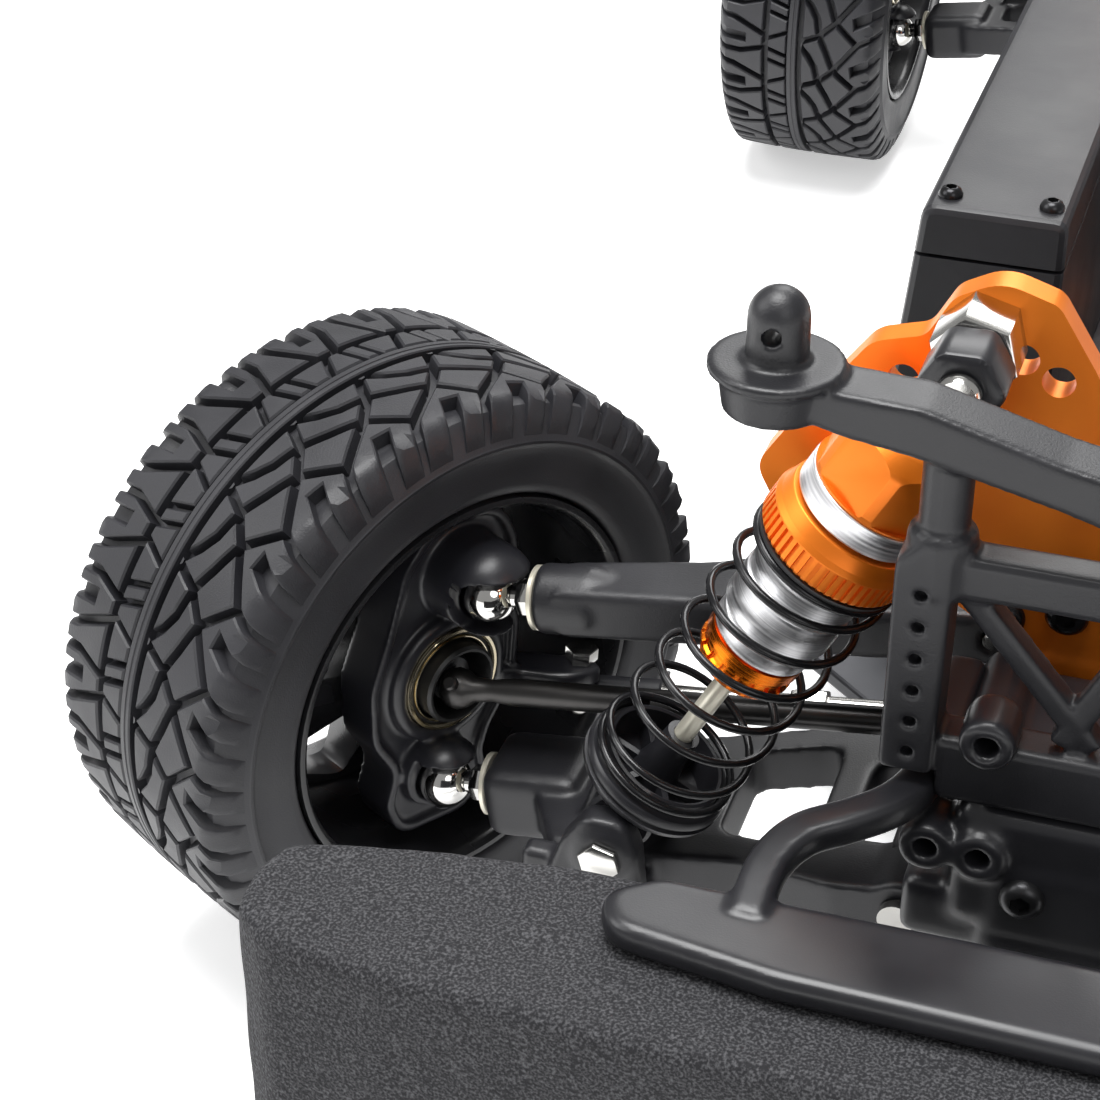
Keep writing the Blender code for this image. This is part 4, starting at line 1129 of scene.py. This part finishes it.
def tower_mesh():
    """The plate that the shocks hang from, with two ears and a row of holes in each."""
    half = [(11, 113.5, 4), (18.5, 126, 8), (23.5, 133.6, 3.5), (24.4, 134.4, 2.5), (31.5, 136.6, 7)]
    half += [(37.4, 133.4, 4), (40.6, 127.4, 3), (47.6, 125.4, 5), (57, 112.5, 6), (62.4, 104.0, 4)]
    half += [(58, 95.6, 3), (46.6, 95.4, 4), (30, 85.0, 3), (21, 75.0, 3)]
    outline = fillet(half + reflected(half), 0, 6)
    holes = ((65.4, 70.6, 2.1), (80.7, 76.0, 2.2), (85.6, 73.5, 2.2), (72.5, 72.5, 1.7), (60.0, 66.5, 1.7))
    cuts = []
    for u, w, radius in holes:
        for hole in both_sides(u, 0, w):
            cuts.append(rod((hole.x, -12, hole.z), (hole.x, 2, hole.z), radius, segments=32))
    slot = fillet(((-8, 84), (8, 84), (5, 103), (-5, 103)), 3)
    cuts.append(prism(slot, -12, 2, UPRIGHT))
    return carved([prism(outline, -7.9, -3.4, UPRIGHT)], cuts, 0.45, 40)


def tower_hardware():
    """The silver standoffs and screws of the shocks, and the black screws of the tower."""
    silver, black = [], []
    nut = [(-26.9, 0), (-26.9, 2.5), (-26.2, 2.9), (-25.2, 2.9), (-25.2, 0)]
    for head in both_sides(SHOCK_HEAD.x, 0, SHOCK_HEAD.z):
        silver.append(hexagon((head.x, -16.0, head.z), (head.x, -7.6, head.z), 10.4, edge=0.5))
        silver.append(rod((head.x, -26.2, head.z), (head.x, -8, head.z), 1.7))
        silver.append(lathe(nut, facing(head.x, head.z), 40))
    for u, w in ((82.0, 36.3), (90.5, 38.5), (89.5, 60.0)):
        for hole in both_sides(u, 0, w):
            black.append(screw_head((hole.x, -8.0, hole.z), (0, -1, 0), 3.0))
    return gathered(silver), gathered(black)


def mount_side(side):
    """One side of the body mount, as the shapes of its post, column and truss, and the cuts in them."""
    x, post = side * 52.9, side * 31.2
    flange = [(131.8, 0), (131.8, 6.4), (134.6, 6.8), (136.8, 7.1), (136.9, 8.4), (138.3, 8.4), (138.3, 0)]
    arc = [i * math.pi / 16 for i in range(8)]
    dome = [(137, 0), (137, 3.9)] + [(144.0 + 3.8 * math.sin(turn), 3.8 * math.cos(turn)) for turn in arc]
    column = [(29.2, 84.4, 1), (36.2, 84.4, 1), (36.2, 115.6, 3), (32.6, 119.2, 3), (28.8, 117.6, 2)]
    outline = fillet([(side * a, b, r) for a, b, r in column], 0)
    shapes = [
        lathe(flange, standing(x, MOUNT_V), 64),
        lathe(dome + [(147.8, 0)], standing(x, MOUNT_V), 48),
        prism(outline, MOUNT_V - 4.2, MOUNT_V + 4.2, UPRIGHT, 0.8),
        rod((post, MOUNT_V, 114), (post, MOUNT_V, 131), 3.2, segments=40),
        lathe([(111, 0), (111, 4.4), (118.2, 4.4), (119.2, 4.0), (119.2, 0)], standing(post, MOUNT_V), 40),
    ]
    cuts = [rod((x, MOUNT_V - 9, 142.6), (x, MOUNT_V + 9, 142.6), 1.15, segments=24)]
    for row in range(6):
        z = 87.6 + row * 4.7
        cuts.append(rod((side * 32.6, MOUNT_V - 9, z), (side * 32.6, MOUNT_V - 2.2, z), 0.85, segments=16))
    for x0, z0, x1, z1 in ((29, 113, 10, 91), (14, 91, 4, 112)):
        brace = along((side * x0, MOUNT_V, z0), (side * x1, MOUNT_V, z1))
        path = [Vector((0, 0, 0)), Vector((math.dist((x0, z0), (x1, z1)), 0, 0))]
        shapes.append(sweep(path, rounded_box(3.4, 3.4, 0.6), brace))
    return shapes, cuts


def body_mount_mesh():
    """A beam with a flanged post at each end, on two pierced columns with a crossbar and a truss."""
    beam = [(0, 128.6, 0), (17.5, 132.0, 8), (34.4, 136.6, 8), (45, 137.0, 4), (53, 137.4, 2)]
    beam += [(53, 133.6, 2), (44, 131.2, 5), (34.4, 129.8, 8), (17.5, 125.9, 8), (0, 121.0, 0)]
    half = fillet(beam, 0, 5)
    shapes = [prism(half + reflected(half), MOUNT_V - 4.2, MOUNT_V + 4.2, UPRIGHT, 0.7)]
    cuts = []
    for side in (-1, 1):
        more, holes = mount_side(side)
        shapes += more
        cuts += holes
    shapes.append(block((-30, MOUNT_V - 2.8, 110.6), (30, MOUNT_V + 2.8, 116.6), edge=0.9))
    shapes.append(block((-29, MOUNT_V - 3.2, 80.4), (29, MOUNT_V + 3.2, 90), edge=0.9))
    return moulded(shapes, cuts, 0.4, 1)


def foam_mesh():
    """The bumper's foam block, crowned, with its edges rounded over."""
    reach = WHEELBASE / 2 - HALF_LENGTH
    half = [(0, reach, 0), (60, reach + 0.6, 30), (88, reach + 2, 20), (103, reach + 4, 5), (108.6, -83, 5)]
    half += [(109, -76, 3), (107.2, -69.5, 3), (99, -67, 6), (86, -64.4, 20), (73, -62.6, 20)]
    half += [(60, -62, 20), (0, -62, 0)]
    outline = fillet(half + reflected(half), 0, 6)
    mesh = moulded([prism(outline, 38.1, 73.9, edge=1.4, steps=3)], (), 1.0, 1)
    normals = [vert.normal.copy() for vert in mesh.vertices]
    for vert, normal in zip(mesh.vertices, normals):
        x, y, z = vert.co
        vert.co += normal * 0.12 * math.sin(x * 0.31 + 1.3) * math.sin(y * 0.47) * math.sin(z * 0.39 + 0.6)
    return mesh


def brace_mesh():
    """Two bent bars from the case to the clamp plate on the foam."""
    half = [(0, -81, 0), (40, -80.6, 30), (62, -77.5, 8), (64.5, -71, 6), (58, -66.2, 6)]
    half += [(20, -65.6, 20), (0, -65.6, 0)]
    outline = fillet(half + reflected(half), 0, 6)
    shapes = [prism(outline, 74.2, 78.6, edge=1.5)]
    bend = ((78.5, -14, 30.9), (78.4, -24, 30.8), (78.2, -32, 30.6), (77.6, -40, 30.5), (75.0, -46.2, 30.4))
    bend += ((70.3, -51, 30.2), (65.4, -55, 29.7), (62.7, -61, 28.6), (62.4, -70, 27.0))
    for side in (-1, 1):
        path = smooth_path([(side * (KINGPIN_X - u), v, AXLE_Z + w) for u, v, w in bend], 6)
        shapes.append(sweep(path, rounded_box(5.4, 4.6, 1.6), up=UP))
    return moulded(shapes, (), 0.5, 2)


def rear_bumper_mesh():
    """The guard behind the rear case: a beam with a lip, on two arms."""
    reach = WHEELBASE / 2 - HALF_LENGTH
    front = [(62, -78, 3), (40, reach, 8)]
    back = [(40, reach + 9, 6), (58, -70, 3)]
    outline = front + reflected(front) + reflected(back) + back
    shapes = [prism(fillet(outline, 0), 44, 62, edge=1.6)]
    cuts = []
    for side in (-1, 1):
        path = smooth_path(((side * 16, -40, 53), (side * 26, -60, 53), (side * 34, reach + 6, 53)))
        shapes.append(sweep(path, rounded_box(8, 8, 1.8), up=UP))
        cuts.append(rod((side * 46, reach - 2, 53), (side * 46, -60, 53), 3))
    return moulded(shapes, cuts, 0.7, 3)


def ends():
    """The same case, tower and body mount at both ends, the foam in front and the guard behind."""
    case, mount = gear_case_mesh(), body_mount_mesh()
    tower = tower_mesh()
    pins, screws = map(mesh_of, hinge_meshes())
    cups = mesh_of(outdrive_mesh())
    silver, black = map(mesh_of, tower_hardware())
    for sy, end in ((-1, "front"), (1, "rear")):
        on_end(f"{end}_case_moulding", case, sy, NYLON_SMOOTH, [f"{end}_gear_case"], 50)
        on_end(f"{end}_hinge_pins", pins, sy, STEEL)
        on_end(f"{end}_case_screws", screws, sy, SCREW)
        on_end(f"{end}_outdrives", cups, sy, DARK_STEEL)
        on_end(f"{end}_tower_plate", tower, sy, ORANGE, [f"{end}_shock_tower"], 18)
        on_end(f"{end}_tower_standoffs", silver, sy, STEEL)
        on_end(f"{end}_tower_screws", black, sy, SCREW)
        on_end(f"{end}_shell_mount", mount, sy, NYLON, [f"{end}_body_mount"], 50)
    foam = on_end("bumper_pad", foam_mesh(), -1, FOAM, ["front_bumper_foam"], 60)
    on_end("bumper_clamp", brace_mesh(), -1, NYLON_SMOOTH, ["front_bumper_brace"], 60)
    on_end("rear_guard", rear_bumper_mesh(), 1, NYLON, (), 50)


# --- Steering --------------------------------------------------------------------------------------------


def fixed(name, mesh, material, nodes=(), body="chassis", sharp=38):
    piece(name, mesh_of(mesh), CAR, material, body, nodes, sharp)


def bellcranks():
    """The two cranks of the steering, each with its bush and the screw at its tip."""
    hub = [(44.0, 2.4), (44.0, 4.7), (44.5, 5.1), (50.9, 5.1), (51.5, 4.5), (51.5, 2.4)]
    bush = [(43.9, 2.25), (43.9, 3.4), (44.2, 3.6), (51.0, 3.6), (51.6, 3.4), (51.6, 2.25)]
    arm = fillet([(0, -4.2, 2), (24, -3.2, 3), (27.6, -2, 2), (27.6, 2, 2), (24, 3.2, 3), (0, 4.2, 2)], 0)
    for side, name in ((1, "bellcrank_left"), (-1, "bellcrank_right")):
        pivot = Vector((side * BELLCRANK[0], BELLCRANK[1], 50))
        tip = pivot + TIP
        up = standing(pivot.x, pivot.y)
        shapes = [lathe(hub, up, 48), prism(arm, -1.3, 1.3, level(pivot, tip), 0.4)]
        cuts = [rod(pivot - UP * 9, pivot + UP * 5, 2.45)]
        fixed(f"{name}_arm", carved(shapes, cuts, 0.25), NYLON, [name], name)
        fixed(f"{name}_bush", lathe(bush, up, 40), ALLOY, (), name)
        pin = [rod(tip - UP * 2.4, tip + UP * 6.4, 1.45), screw_head(tip + UP * 5.3, UP, 2.8)]
        fixed(f"{name}_screw", gathered(pin), SCREW, (), name)


def steering_plate_meshes():
    """The plate that joins the bellcranks, with a fork for the servo's pin, and the tie rods' studs."""
    frame = Matrix.Translation(PLATE_SHIFT)
    rods_x = KINGPIN_X - ARM_SPAN.x
    rods_y = STEER_RADIUS - WHEELBASE / 2
    half = [(0, rods_y - 3.4, 0), (rods_x, rods_y - 3.9, 6), (rods_x + 4.4, rods_y - 2, 3)]
    half += [(rods_x + 4.4, rods_y + 3.4, 3), (22.4, -136, 4)]
    fork = [(22.4, -112, 3), (37.8, -110, 2), (37.8, -104.6, 1.5), (-21, -104.6, 4)]
    outline = fillet(half + fork + reflected(half), 0)
    shapes = [prism(outline, 52.3, 54.9, frame)]
    cuts = [prism(fillet(((-9, -137), (9, -137), (7, -113), (-7, -113)), 4), 50, 58, frame)]
    studs = []
    for side in (-1, 1):
        hole = Vector((side * BELLCRANK[0], BELLCRANK[1] + STEER_RADIUS, 0)) + PLATE_SHIFT
        cuts.append(rod(hole + UP * 50, hole + UP * 58, 1.95))
        prong = SERVO_AXIS[0] + side * 3.6
        shapes.append(block((prong - 1.5, -108.9, 52.3), (prong + 1.5, -105.1, 69.8), frame, 0.5))
        foot = Vector((side * rods_x, rods_y, 49.8)) + PLATE_SHIFT
        studs.append(rod(foot - UP * 3.0, foot + UP * 3.2, 1.15))
        studs.append(ball(foot, 2.45))
        studs.append(screw_head(foot + UP * 5.4, UP, 2.8))
    return carved(shapes, cuts, 0.3), gathered(studs)


def tie_rod_meshes():
    """Each side's turnbuckle with a hexagon at its middle, and its moulded eyes."""
    slide = STEER_RADIUS * math.sin(STEER)
    eye = [(-1.7, 0), (-1.7, 3.5), (-1.4, 3.8), (1.4, 3.8), (1.7, 3.5), (1.7, 0)]
    meshes = {}
    for side, sx in (("left", 1), ("right", -1)):
        inner = Vector((sx * slide, STEER_RADIUS * math.cos(STEER), -11)) + ARM_SPAN
        outer = inner - ARM_SPAN - Vector((0.9, 0, 0))
        frame = along(outer, inner)
        span = (inner - outer).length
        steel = [rod((10, 0, 0), (span - 10, 0, 0), 1.5, frame)]
        steel.append(hexagon((span / 2 - 3, 0, 0), (span / 2 + 3, 0, 0), 4.4, frame, 0.4))
        shapes, cuts = [], []
        for end, towards in ((outer, 1), (inner, -1)):
            shapes.append(lathe(eye, axes(end, (0, 0, 1), (1, 0, 0), (0, 1, 0)), 48))
            shapes.append(rod(end, end + (inner - outer).normalized() * 15 * towards, 2.2))
            cuts.append(rod(end - UP * 4, end + UP * 4, 2.6))
        meshes[side] = (mesh_of(gathered(steel)), carved(shapes, cuts, 0.2, 50))
    return meshes


def servo_meshes():
    """The steering servo's case, and its screws with the end of its output shaft."""
    x, z = SERVO_AXIS
    case = [
        block((14.2, -96.8, 31.4), (53.8, -58.2, 51.1), edge=0.9),
        block((8.2, -89.8, 36.2), (59.8, -87.2, 46.8), edge=0.7),
        rod((x, -97.6, z), (x, -90, z), 8.0, segments=48, edge=0.6),
        rod((x + 11, -97.2, z), (x + 11, -90, z), 5.2, segments=40, edge=0.6),
    ]
    cuts = [block((13, y, 30), (55, y + 0.6, 52), edge=0) for y in (-84.6, -66.6)]
    screws = [rod((x, -98.2, z), (x, -96, z), 3.0, segments=32)]
    for x, z in ((11.2, 38.6), (11.2, 44.4), (56.8, 38.6), (56.8, 44.4)):
        screws.append(screw_head((x, -90.0, z), (0, -1, 0), 2.2))
    for x, z in ((16.4, 33.6), (51.6, 33.6), (16.4, 49.0), (51.6, 49.0)):
        screws.append(screw_head((x, -96.8, z), (0, -1, 0), 1.5))
    return carved(case, cuts, 0.2), gathered(screws)


def servo_horn_meshes():
    """The servo's lever, and its pin and screw."""
    hub = Vector((SERVO_AXIS[0], -98.5, SERVO_AXIS[1]))
    tip = hub + Vector((-math.sin(STEER), 0, math.cos(STEER))) * STEER_RADIUS
    x = (tip - hub).normalized()
    frame = axes(hub, x, x.cross(Vector((0, -1, 0))), (0, -1, 0))
    edge = [(-5, -4), (4, -4.4), (22, -3.2), (27.2, -2.4)]
    arm = fillet(edge + [(x, -y) for x, y in reversed(edge)], 3)
    shapes = [prism(arm, 0.4, 3.2, frame), rod(hub, hub + Vector((0, -4, 0)), 4.6, segments=40)]
    cuts = [rod((r, 0, -1), (r, 0, 5), 0.9, frame, 16) for r in (9, 14, 19)]
    pin = [rod(tip + Vector((0, 0.6, 0)), tip - Vector((0, 14, 0)), 1.5)]
    pin.append(screw_head(hub - Vector((0, 4, 0)), (0, -1, 0), 2.4))
    return carved(shapes, cuts, 0.25), gathered(pin)


def steering():
    bellcranks()
    plate, studs = steering_plate_meshes()
    fixed("drag_plate", plate, ALLOY, ["steering_plate"], "steering_plate", 18)
    fixed("drag_plate_studs", studs, STEEL, (), "steering_plate")
    rods = tie_rod_meshes()
    for place in CORNERS[:2]:
        side = "left" if place.sx > 0 else "right"
        body = f"tie_rod_{side}"
        steel, eyes = rods[side]
        piece(f"turnbuckle_{side}", steel, place.frame, STEEL, body, [body])
        piece(f"turnbuckle_ends_{side}", eyes, place.frame, NYLON, body)
    case, screws = servo_meshes()
    fixed("servo_case", case, NYLON, ["steering_servo"])
    fixed("servo_screws", screws, SCREW)
    horn, pin = servo_horn_meshes()
    fixed("servo_lever", horn, NYLON, ["servo_horn"], "servo_horn")
    fixed("servo_lever_pin", pin, STEEL, (), "servo_horn")


# --- Chassis, drive and electrics --------------------------------------------------------------------------


def chassis_meshes():
    """The deck plate, the posts that the bellcranks turn on, and the deck's screws."""
    half = [(24, -232, 4), (26, -150, 20), (76, -108, 8), (76, 108, 8), (26, 150, 20), (24, 232, 4)]
    plate = prism(fillet(half + reflected(half), 0, 5), 28, PLATE_TOP, edge=0.6)
    foot = PLATE_TOP - 0.5
    profile = [(foot, 0), (foot, 5.0), (33, 4.6), (43.2, 4.5), (43.6, 4.1), (43.6, 2.05), (51.8, 2.05)]
    posts = []
    for side in (-1, 1):
        x, y = side * BELLCRANK[0], BELLCRANK[1]
        posts.append(lathe(profile + [(51.8, 0)], standing(x, y), 40))
        posts.append(screw_head((x, y, 52.0), UP, 1.9))
    places = [(62, -98), (66, -60), (66, 92), (40, 110), (20, -215), (20, -200), (20, 215), (20, 200)]
    screws = []
    for x, y in places + [(66, 0)]:
        screws.append(screw_head((x, y, PLATE_TOP), UP, 2.6))
        screws.append(screw_head((-x, y, PLATE_TOP), UP, 2.6))
    return plate, gathered(posts), gathered(screws)


def gear_outline(teeth, start):
    """A toothed outline with a tooth centred on the angle start."""
    pitch = MODULE * teeth / 2
    marks = ((-0.36, -1.25), (-0.23, 0.0), (-0.12, 0.95), (0.12, 0.95), (0.23, 0.0), (0.36, -1.25))
    outline = []
    for tooth in range(teeth):
        for share, rise in marks:
            turn = start + TAU * (tooth + share) / teeth
            radius = pitch + rise * MODULE
            outline.append((radius * math.cos(turn), radius * math.sin(turn)))
    return outline


def drive_meshes():
    """The spur gear on its shaft, and the pinion, in mesh."""
    across = axes((0, 0, SHAFT_Z), (1, 0, 0), (0, 0, 1), (0, 1, 0))
    towards = math.atan2(MOTOR_Z - SHAFT_Z, MOTOR_X)
    spur = prism(gear_outline(SPUR_TEETH, towards + math.pi / SPUR_TEETH), 14.2, 18.8, across)
    holes = []
    for i in range(6):
        turn = TAU * i / 6
        x, z = 13.2 * math.cos(turn), 13.2 * math.sin(turn)
        holes.append(rod((x, z, 10), (x, z, 22), 3.3, across, 28))
    hub = [(13.5, 0), (13.5, 7.0), (14.3, 7.6), (20.2, 7.6), (21.0, 7.0), (21.0, 0)]
    gear = carved([spur, lathe(hub, facing(0, SHAFT_Z), 48)], holes, 0)
    shaft = [rod((0, -154, SHAFT_Z), (0, 154, SHAFT_Z), 2.5, segments=32)]
    for y in (-146, 142):
        shaft.append(rod((0, y, SHAFT_Z), (0, y + 4, SHAFT_Z), 4.2, segments=32))
    small = axes((MOTOR_X, 0, MOTOR_Z), (1, 0, 0), (0, 0, 1), (0, 1, 0))
    pinion = [
        prism(gear_outline(PINION_TEETH, towards + math.pi), 13.6, 19.4, small),
        rod((MOTOR_X, 19.3, MOTOR_Z), (MOTOR_X, 23.5, MOTOR_Z), 4.8, segments=32),
        rod((MOTOR_X, 2, MOTOR_Z), (MOTOR_X, 20, MOTOR_Z), 1.6, segments=24),
    ]
    return gear, gathered(shaft), gathered(pinion)


def motor_meshes():
    """The motor's can with its vents, and its terminals."""
    can = [(-42, 0), (-42, 6), (-41, 8.5), (-39.2, 16.4), (-37.4, 17.9), (-30, 18), (-29.6, 17.6)]
    can += [(-28.8, 17.6), (-28.4, 18), (3.4, 18), (3.8, 17.6), (4.6, 17.6), (5, 18), (6.6, 18)]
    can += [(8, 16.6), (8, 2.1), (0, 2.1), (0, 0)]
    frame = facing(MOTOR_X, MOTOR_Z)
    vents = turned(12, frame, (-27, 17.2, -2.2), (-12, 20, 2.2))
    tail = [block((-44.2, -6, -12), (-38, 6, -6.5), frame, 0.8)]
    return carved([lathe(can, frame, 96)], vents, 0.25, 40), gathered(tail)


def centre_mount_meshes():
    """The two plates that hold the centre shaft and the motor, with their bearings and screws."""
    plate = [(-14, 33, 2), (46, 33, 2), (46, 62, 6), (30, 71, 8), (-8, 71, 6), (-14, 62, 6)]
    rear = [(-14, 33, 2), (14, 33, 2), (14, 62, 6), (8, 71, 6), (-8, 71, 6), (-14, 62, 6)]
    shapes = [
        block((-20, 8.5, 31.4), (46, 26.9, 35.8), edge=0.8),
        prism(fillet(plate, 0), 8.5, 11.5, UPRIGHT),
        prism(fillet(rear, 0), 22.6, 26.9, UPRIGHT),
    ]
    cuts = [
        rod((0, 5, SHAFT_Z), (0, 30, SHAFT_Z), 5.0, segments=40),
        rod((MOTOR_X, 5, MOTOR_Z), (MOTOR_X, 13, MOTOR_Z), 6.5, segments=40),
        block((-12, 13.2, 33.4), (24.5, 20.8, 40), edge=0),
    ]
    races = []
    for y in (8.4, 22.6):
        races.append(lathe([(y, 2.9), (y, 4.95), (y + 2.6, 4.95), (y + 2.6, 2.9)], facing(0, SHAFT_Z), 40))
    screws = [screw_head((x, 8.5, z), (0, -1, 0), 2.2) for x, z in ((-10, 38), (42, 38))]
    for dx, dz in ((11.5, 4), (4, -12.4)):
        screws.append(screw_head((MOTOR_X + dx, 11.5, MOTOR_Z + dz), (0, 1, 0), 2.2))
    return carved(shapes, cuts, 0.4), gathered(races), gathered(screws)


def electrics():
    """The strapped battery and the radio box."""
    pack = block((48.3, -53.7, 31.5), (72.7, 83.7, 73), edge=2.2)
    fixed("battery_cells", pack, BATTERY, ["battery_pack"])
    straps = []
    for y in (-30, 52):
        outline = fillet(((46.9, 31.4), (74.1, 31.4), (74.1, 74.6), (46.9, 74.6)), 2.6)
        straps.append(band(outline, 1.2, y, y + 12, UPRIGHT))
        straps.append(block((54, y - 1.5, 74.2), (67, y + 13.5, 77.6), edge=0.9))
    fixed("battery_straps", gathered(straps), SEAL)
    outline = [(-67.8, 31.4, 1.5), (-36.2, 31.4, 1.5), (-36.2, 91.8, 2.5), (-62, 91.8, 3)]
    box = prism(fillet(outline, 0), -61.8, 69.8, UPRIGHT, 1.4)
    seam = [block((-70, -64, 82.0), (-34, 72, 82.7), edge=0)]
    cuts = seam + [prism(fillet(((-58, 40), (-45, 40), (-45, 60), (-55, 60)), 3), -66, -60.4, UPRIGHT)]
    fixed("radio_case", carved([box], cuts, 0.2), NYLON, ["radio_box"], sharp=18)
    screws = [screw_head((x, y, 91.8), UP, 2.2) for x in (-58, -40) for y in (-56, 64)]
    fixed("radio_case_screws", gathered(screws), SCREW)


def middle():
    plate, posts, screws = chassis_meshes()
    fixed("deck_plate", plate, GUNMETAL, ["chassis_plate"], sharp=18)
    fixed("steering_posts", posts, ALLOY)
    fixed("deck_screws", screws, SCREW)
    gear, shaft, pinion = drive_meshes()
    fixed("spur_wheel", gear, NYLON_SMOOTH, ["spur_gear_shaft"], "centre_shaft")
    fixed("centre_spindle", shaft, DARK_STEEL, (), "centre_shaft")
    fixed("pinion_wheel", pinion, STEEL, ["motor_pinion"], "motor_pinion")
    can, tail = motor_meshes()
    fixed("motor_can", can, ALLOY, ["motor"])
    fixed("motor_terminals", tail, SEAL)
    mount, races, mount_screws = centre_mount_meshes()
    fixed("bulkheads", mount, ORANGE, ["centre_mount"], sharp=18)
    fixed("bulkhead_bearings", races, STEEL)
    fixed("bulkhead_screws", mount_screws, SCREW)
    electrics()


# --- Studio ------------------------------------------------------------------------------------------


LIT_POINT = Vector((-0.05, -0.1, 0.05))


def studio():
    """The camera at the photograph's angle, a pale floor, a white world and four soft lamps."""
    camera = bpy.data.cameras.new("camera")
    camera.lens = 83.165
    camera.sensor_width = 36.0
    camera.clip_start = 0.01
    viewer = bpy.data.objects.new("camera", camera)
    viewer.location = (0.00657, -0.47164, 0.28174)
    viewer.rotation_euler = (math.radians(57.432), 0, math.radians(18.58))
    bpy.context.scene.collection.objects.link(viewer)
    bpy.context.scene.camera = viewer

    bm = bmesh.new()
    bmesh.ops.create_grid(bm, x_segments=1, y_segments=1, size=6.0)
    floor = bpy.data.objects.new("floor", mesh_of(bm, "floor"))
    lit = {"Emission Color": (1.0, 1.0, 1.0, 1), "Emission Strength": 0.5}
    material = surface("studio_floor", (0.86, 0.86, 0.86), (0.90, 0.90, 0.90), (0.6, 0.7), depth=0.0, **lit)
    floor.data.materials.append(material)
    bpy.context.scene.collection.objects.link(floor)

    world = bpy.data.worlds.new("studio")
    world.use_nodes = True
    world.node_tree.nodes["Background"].inputs["Color"].default_value = (1.0, 1.0, 1.0, 1)
    world.node_tree.nodes["Background"].inputs["Strength"].default_value = 0.34
    bpy.context.scene.world = world
    bpy.context.scene.view_settings.view_transform = "Standard"
    lamps = (
        ("key", (-0.2, -0.15, 1.35), 0.9, 26.0),
        ("fill", (0.7, -1.1, 0.9), 0.8, 3.0),
        ("side", (-1.0, -0.5, 0.8), 0.8, 6.0),
        ("back", (-0.1, 1.2, 1.1), 0.9, 10.0),
    )
    for name, place, size, power in lamps:
        light = bpy.data.lights.new(name, "AREA")
        light.shape = "DISK"
        light.size = size
        light.energy = power
        lamp = bpy.data.objects.new(name, light)
        lamp.location = place
        lamp.rotation_euler = (LIT_POINT - Vector(place)).to_track_quat("-Z", "Y").to_euler()
        bpy.context.scene.collection.objects.link(lamp)


studio()
wheels()
uprights()
arms()
shocks()
ends()
steering()
middle()
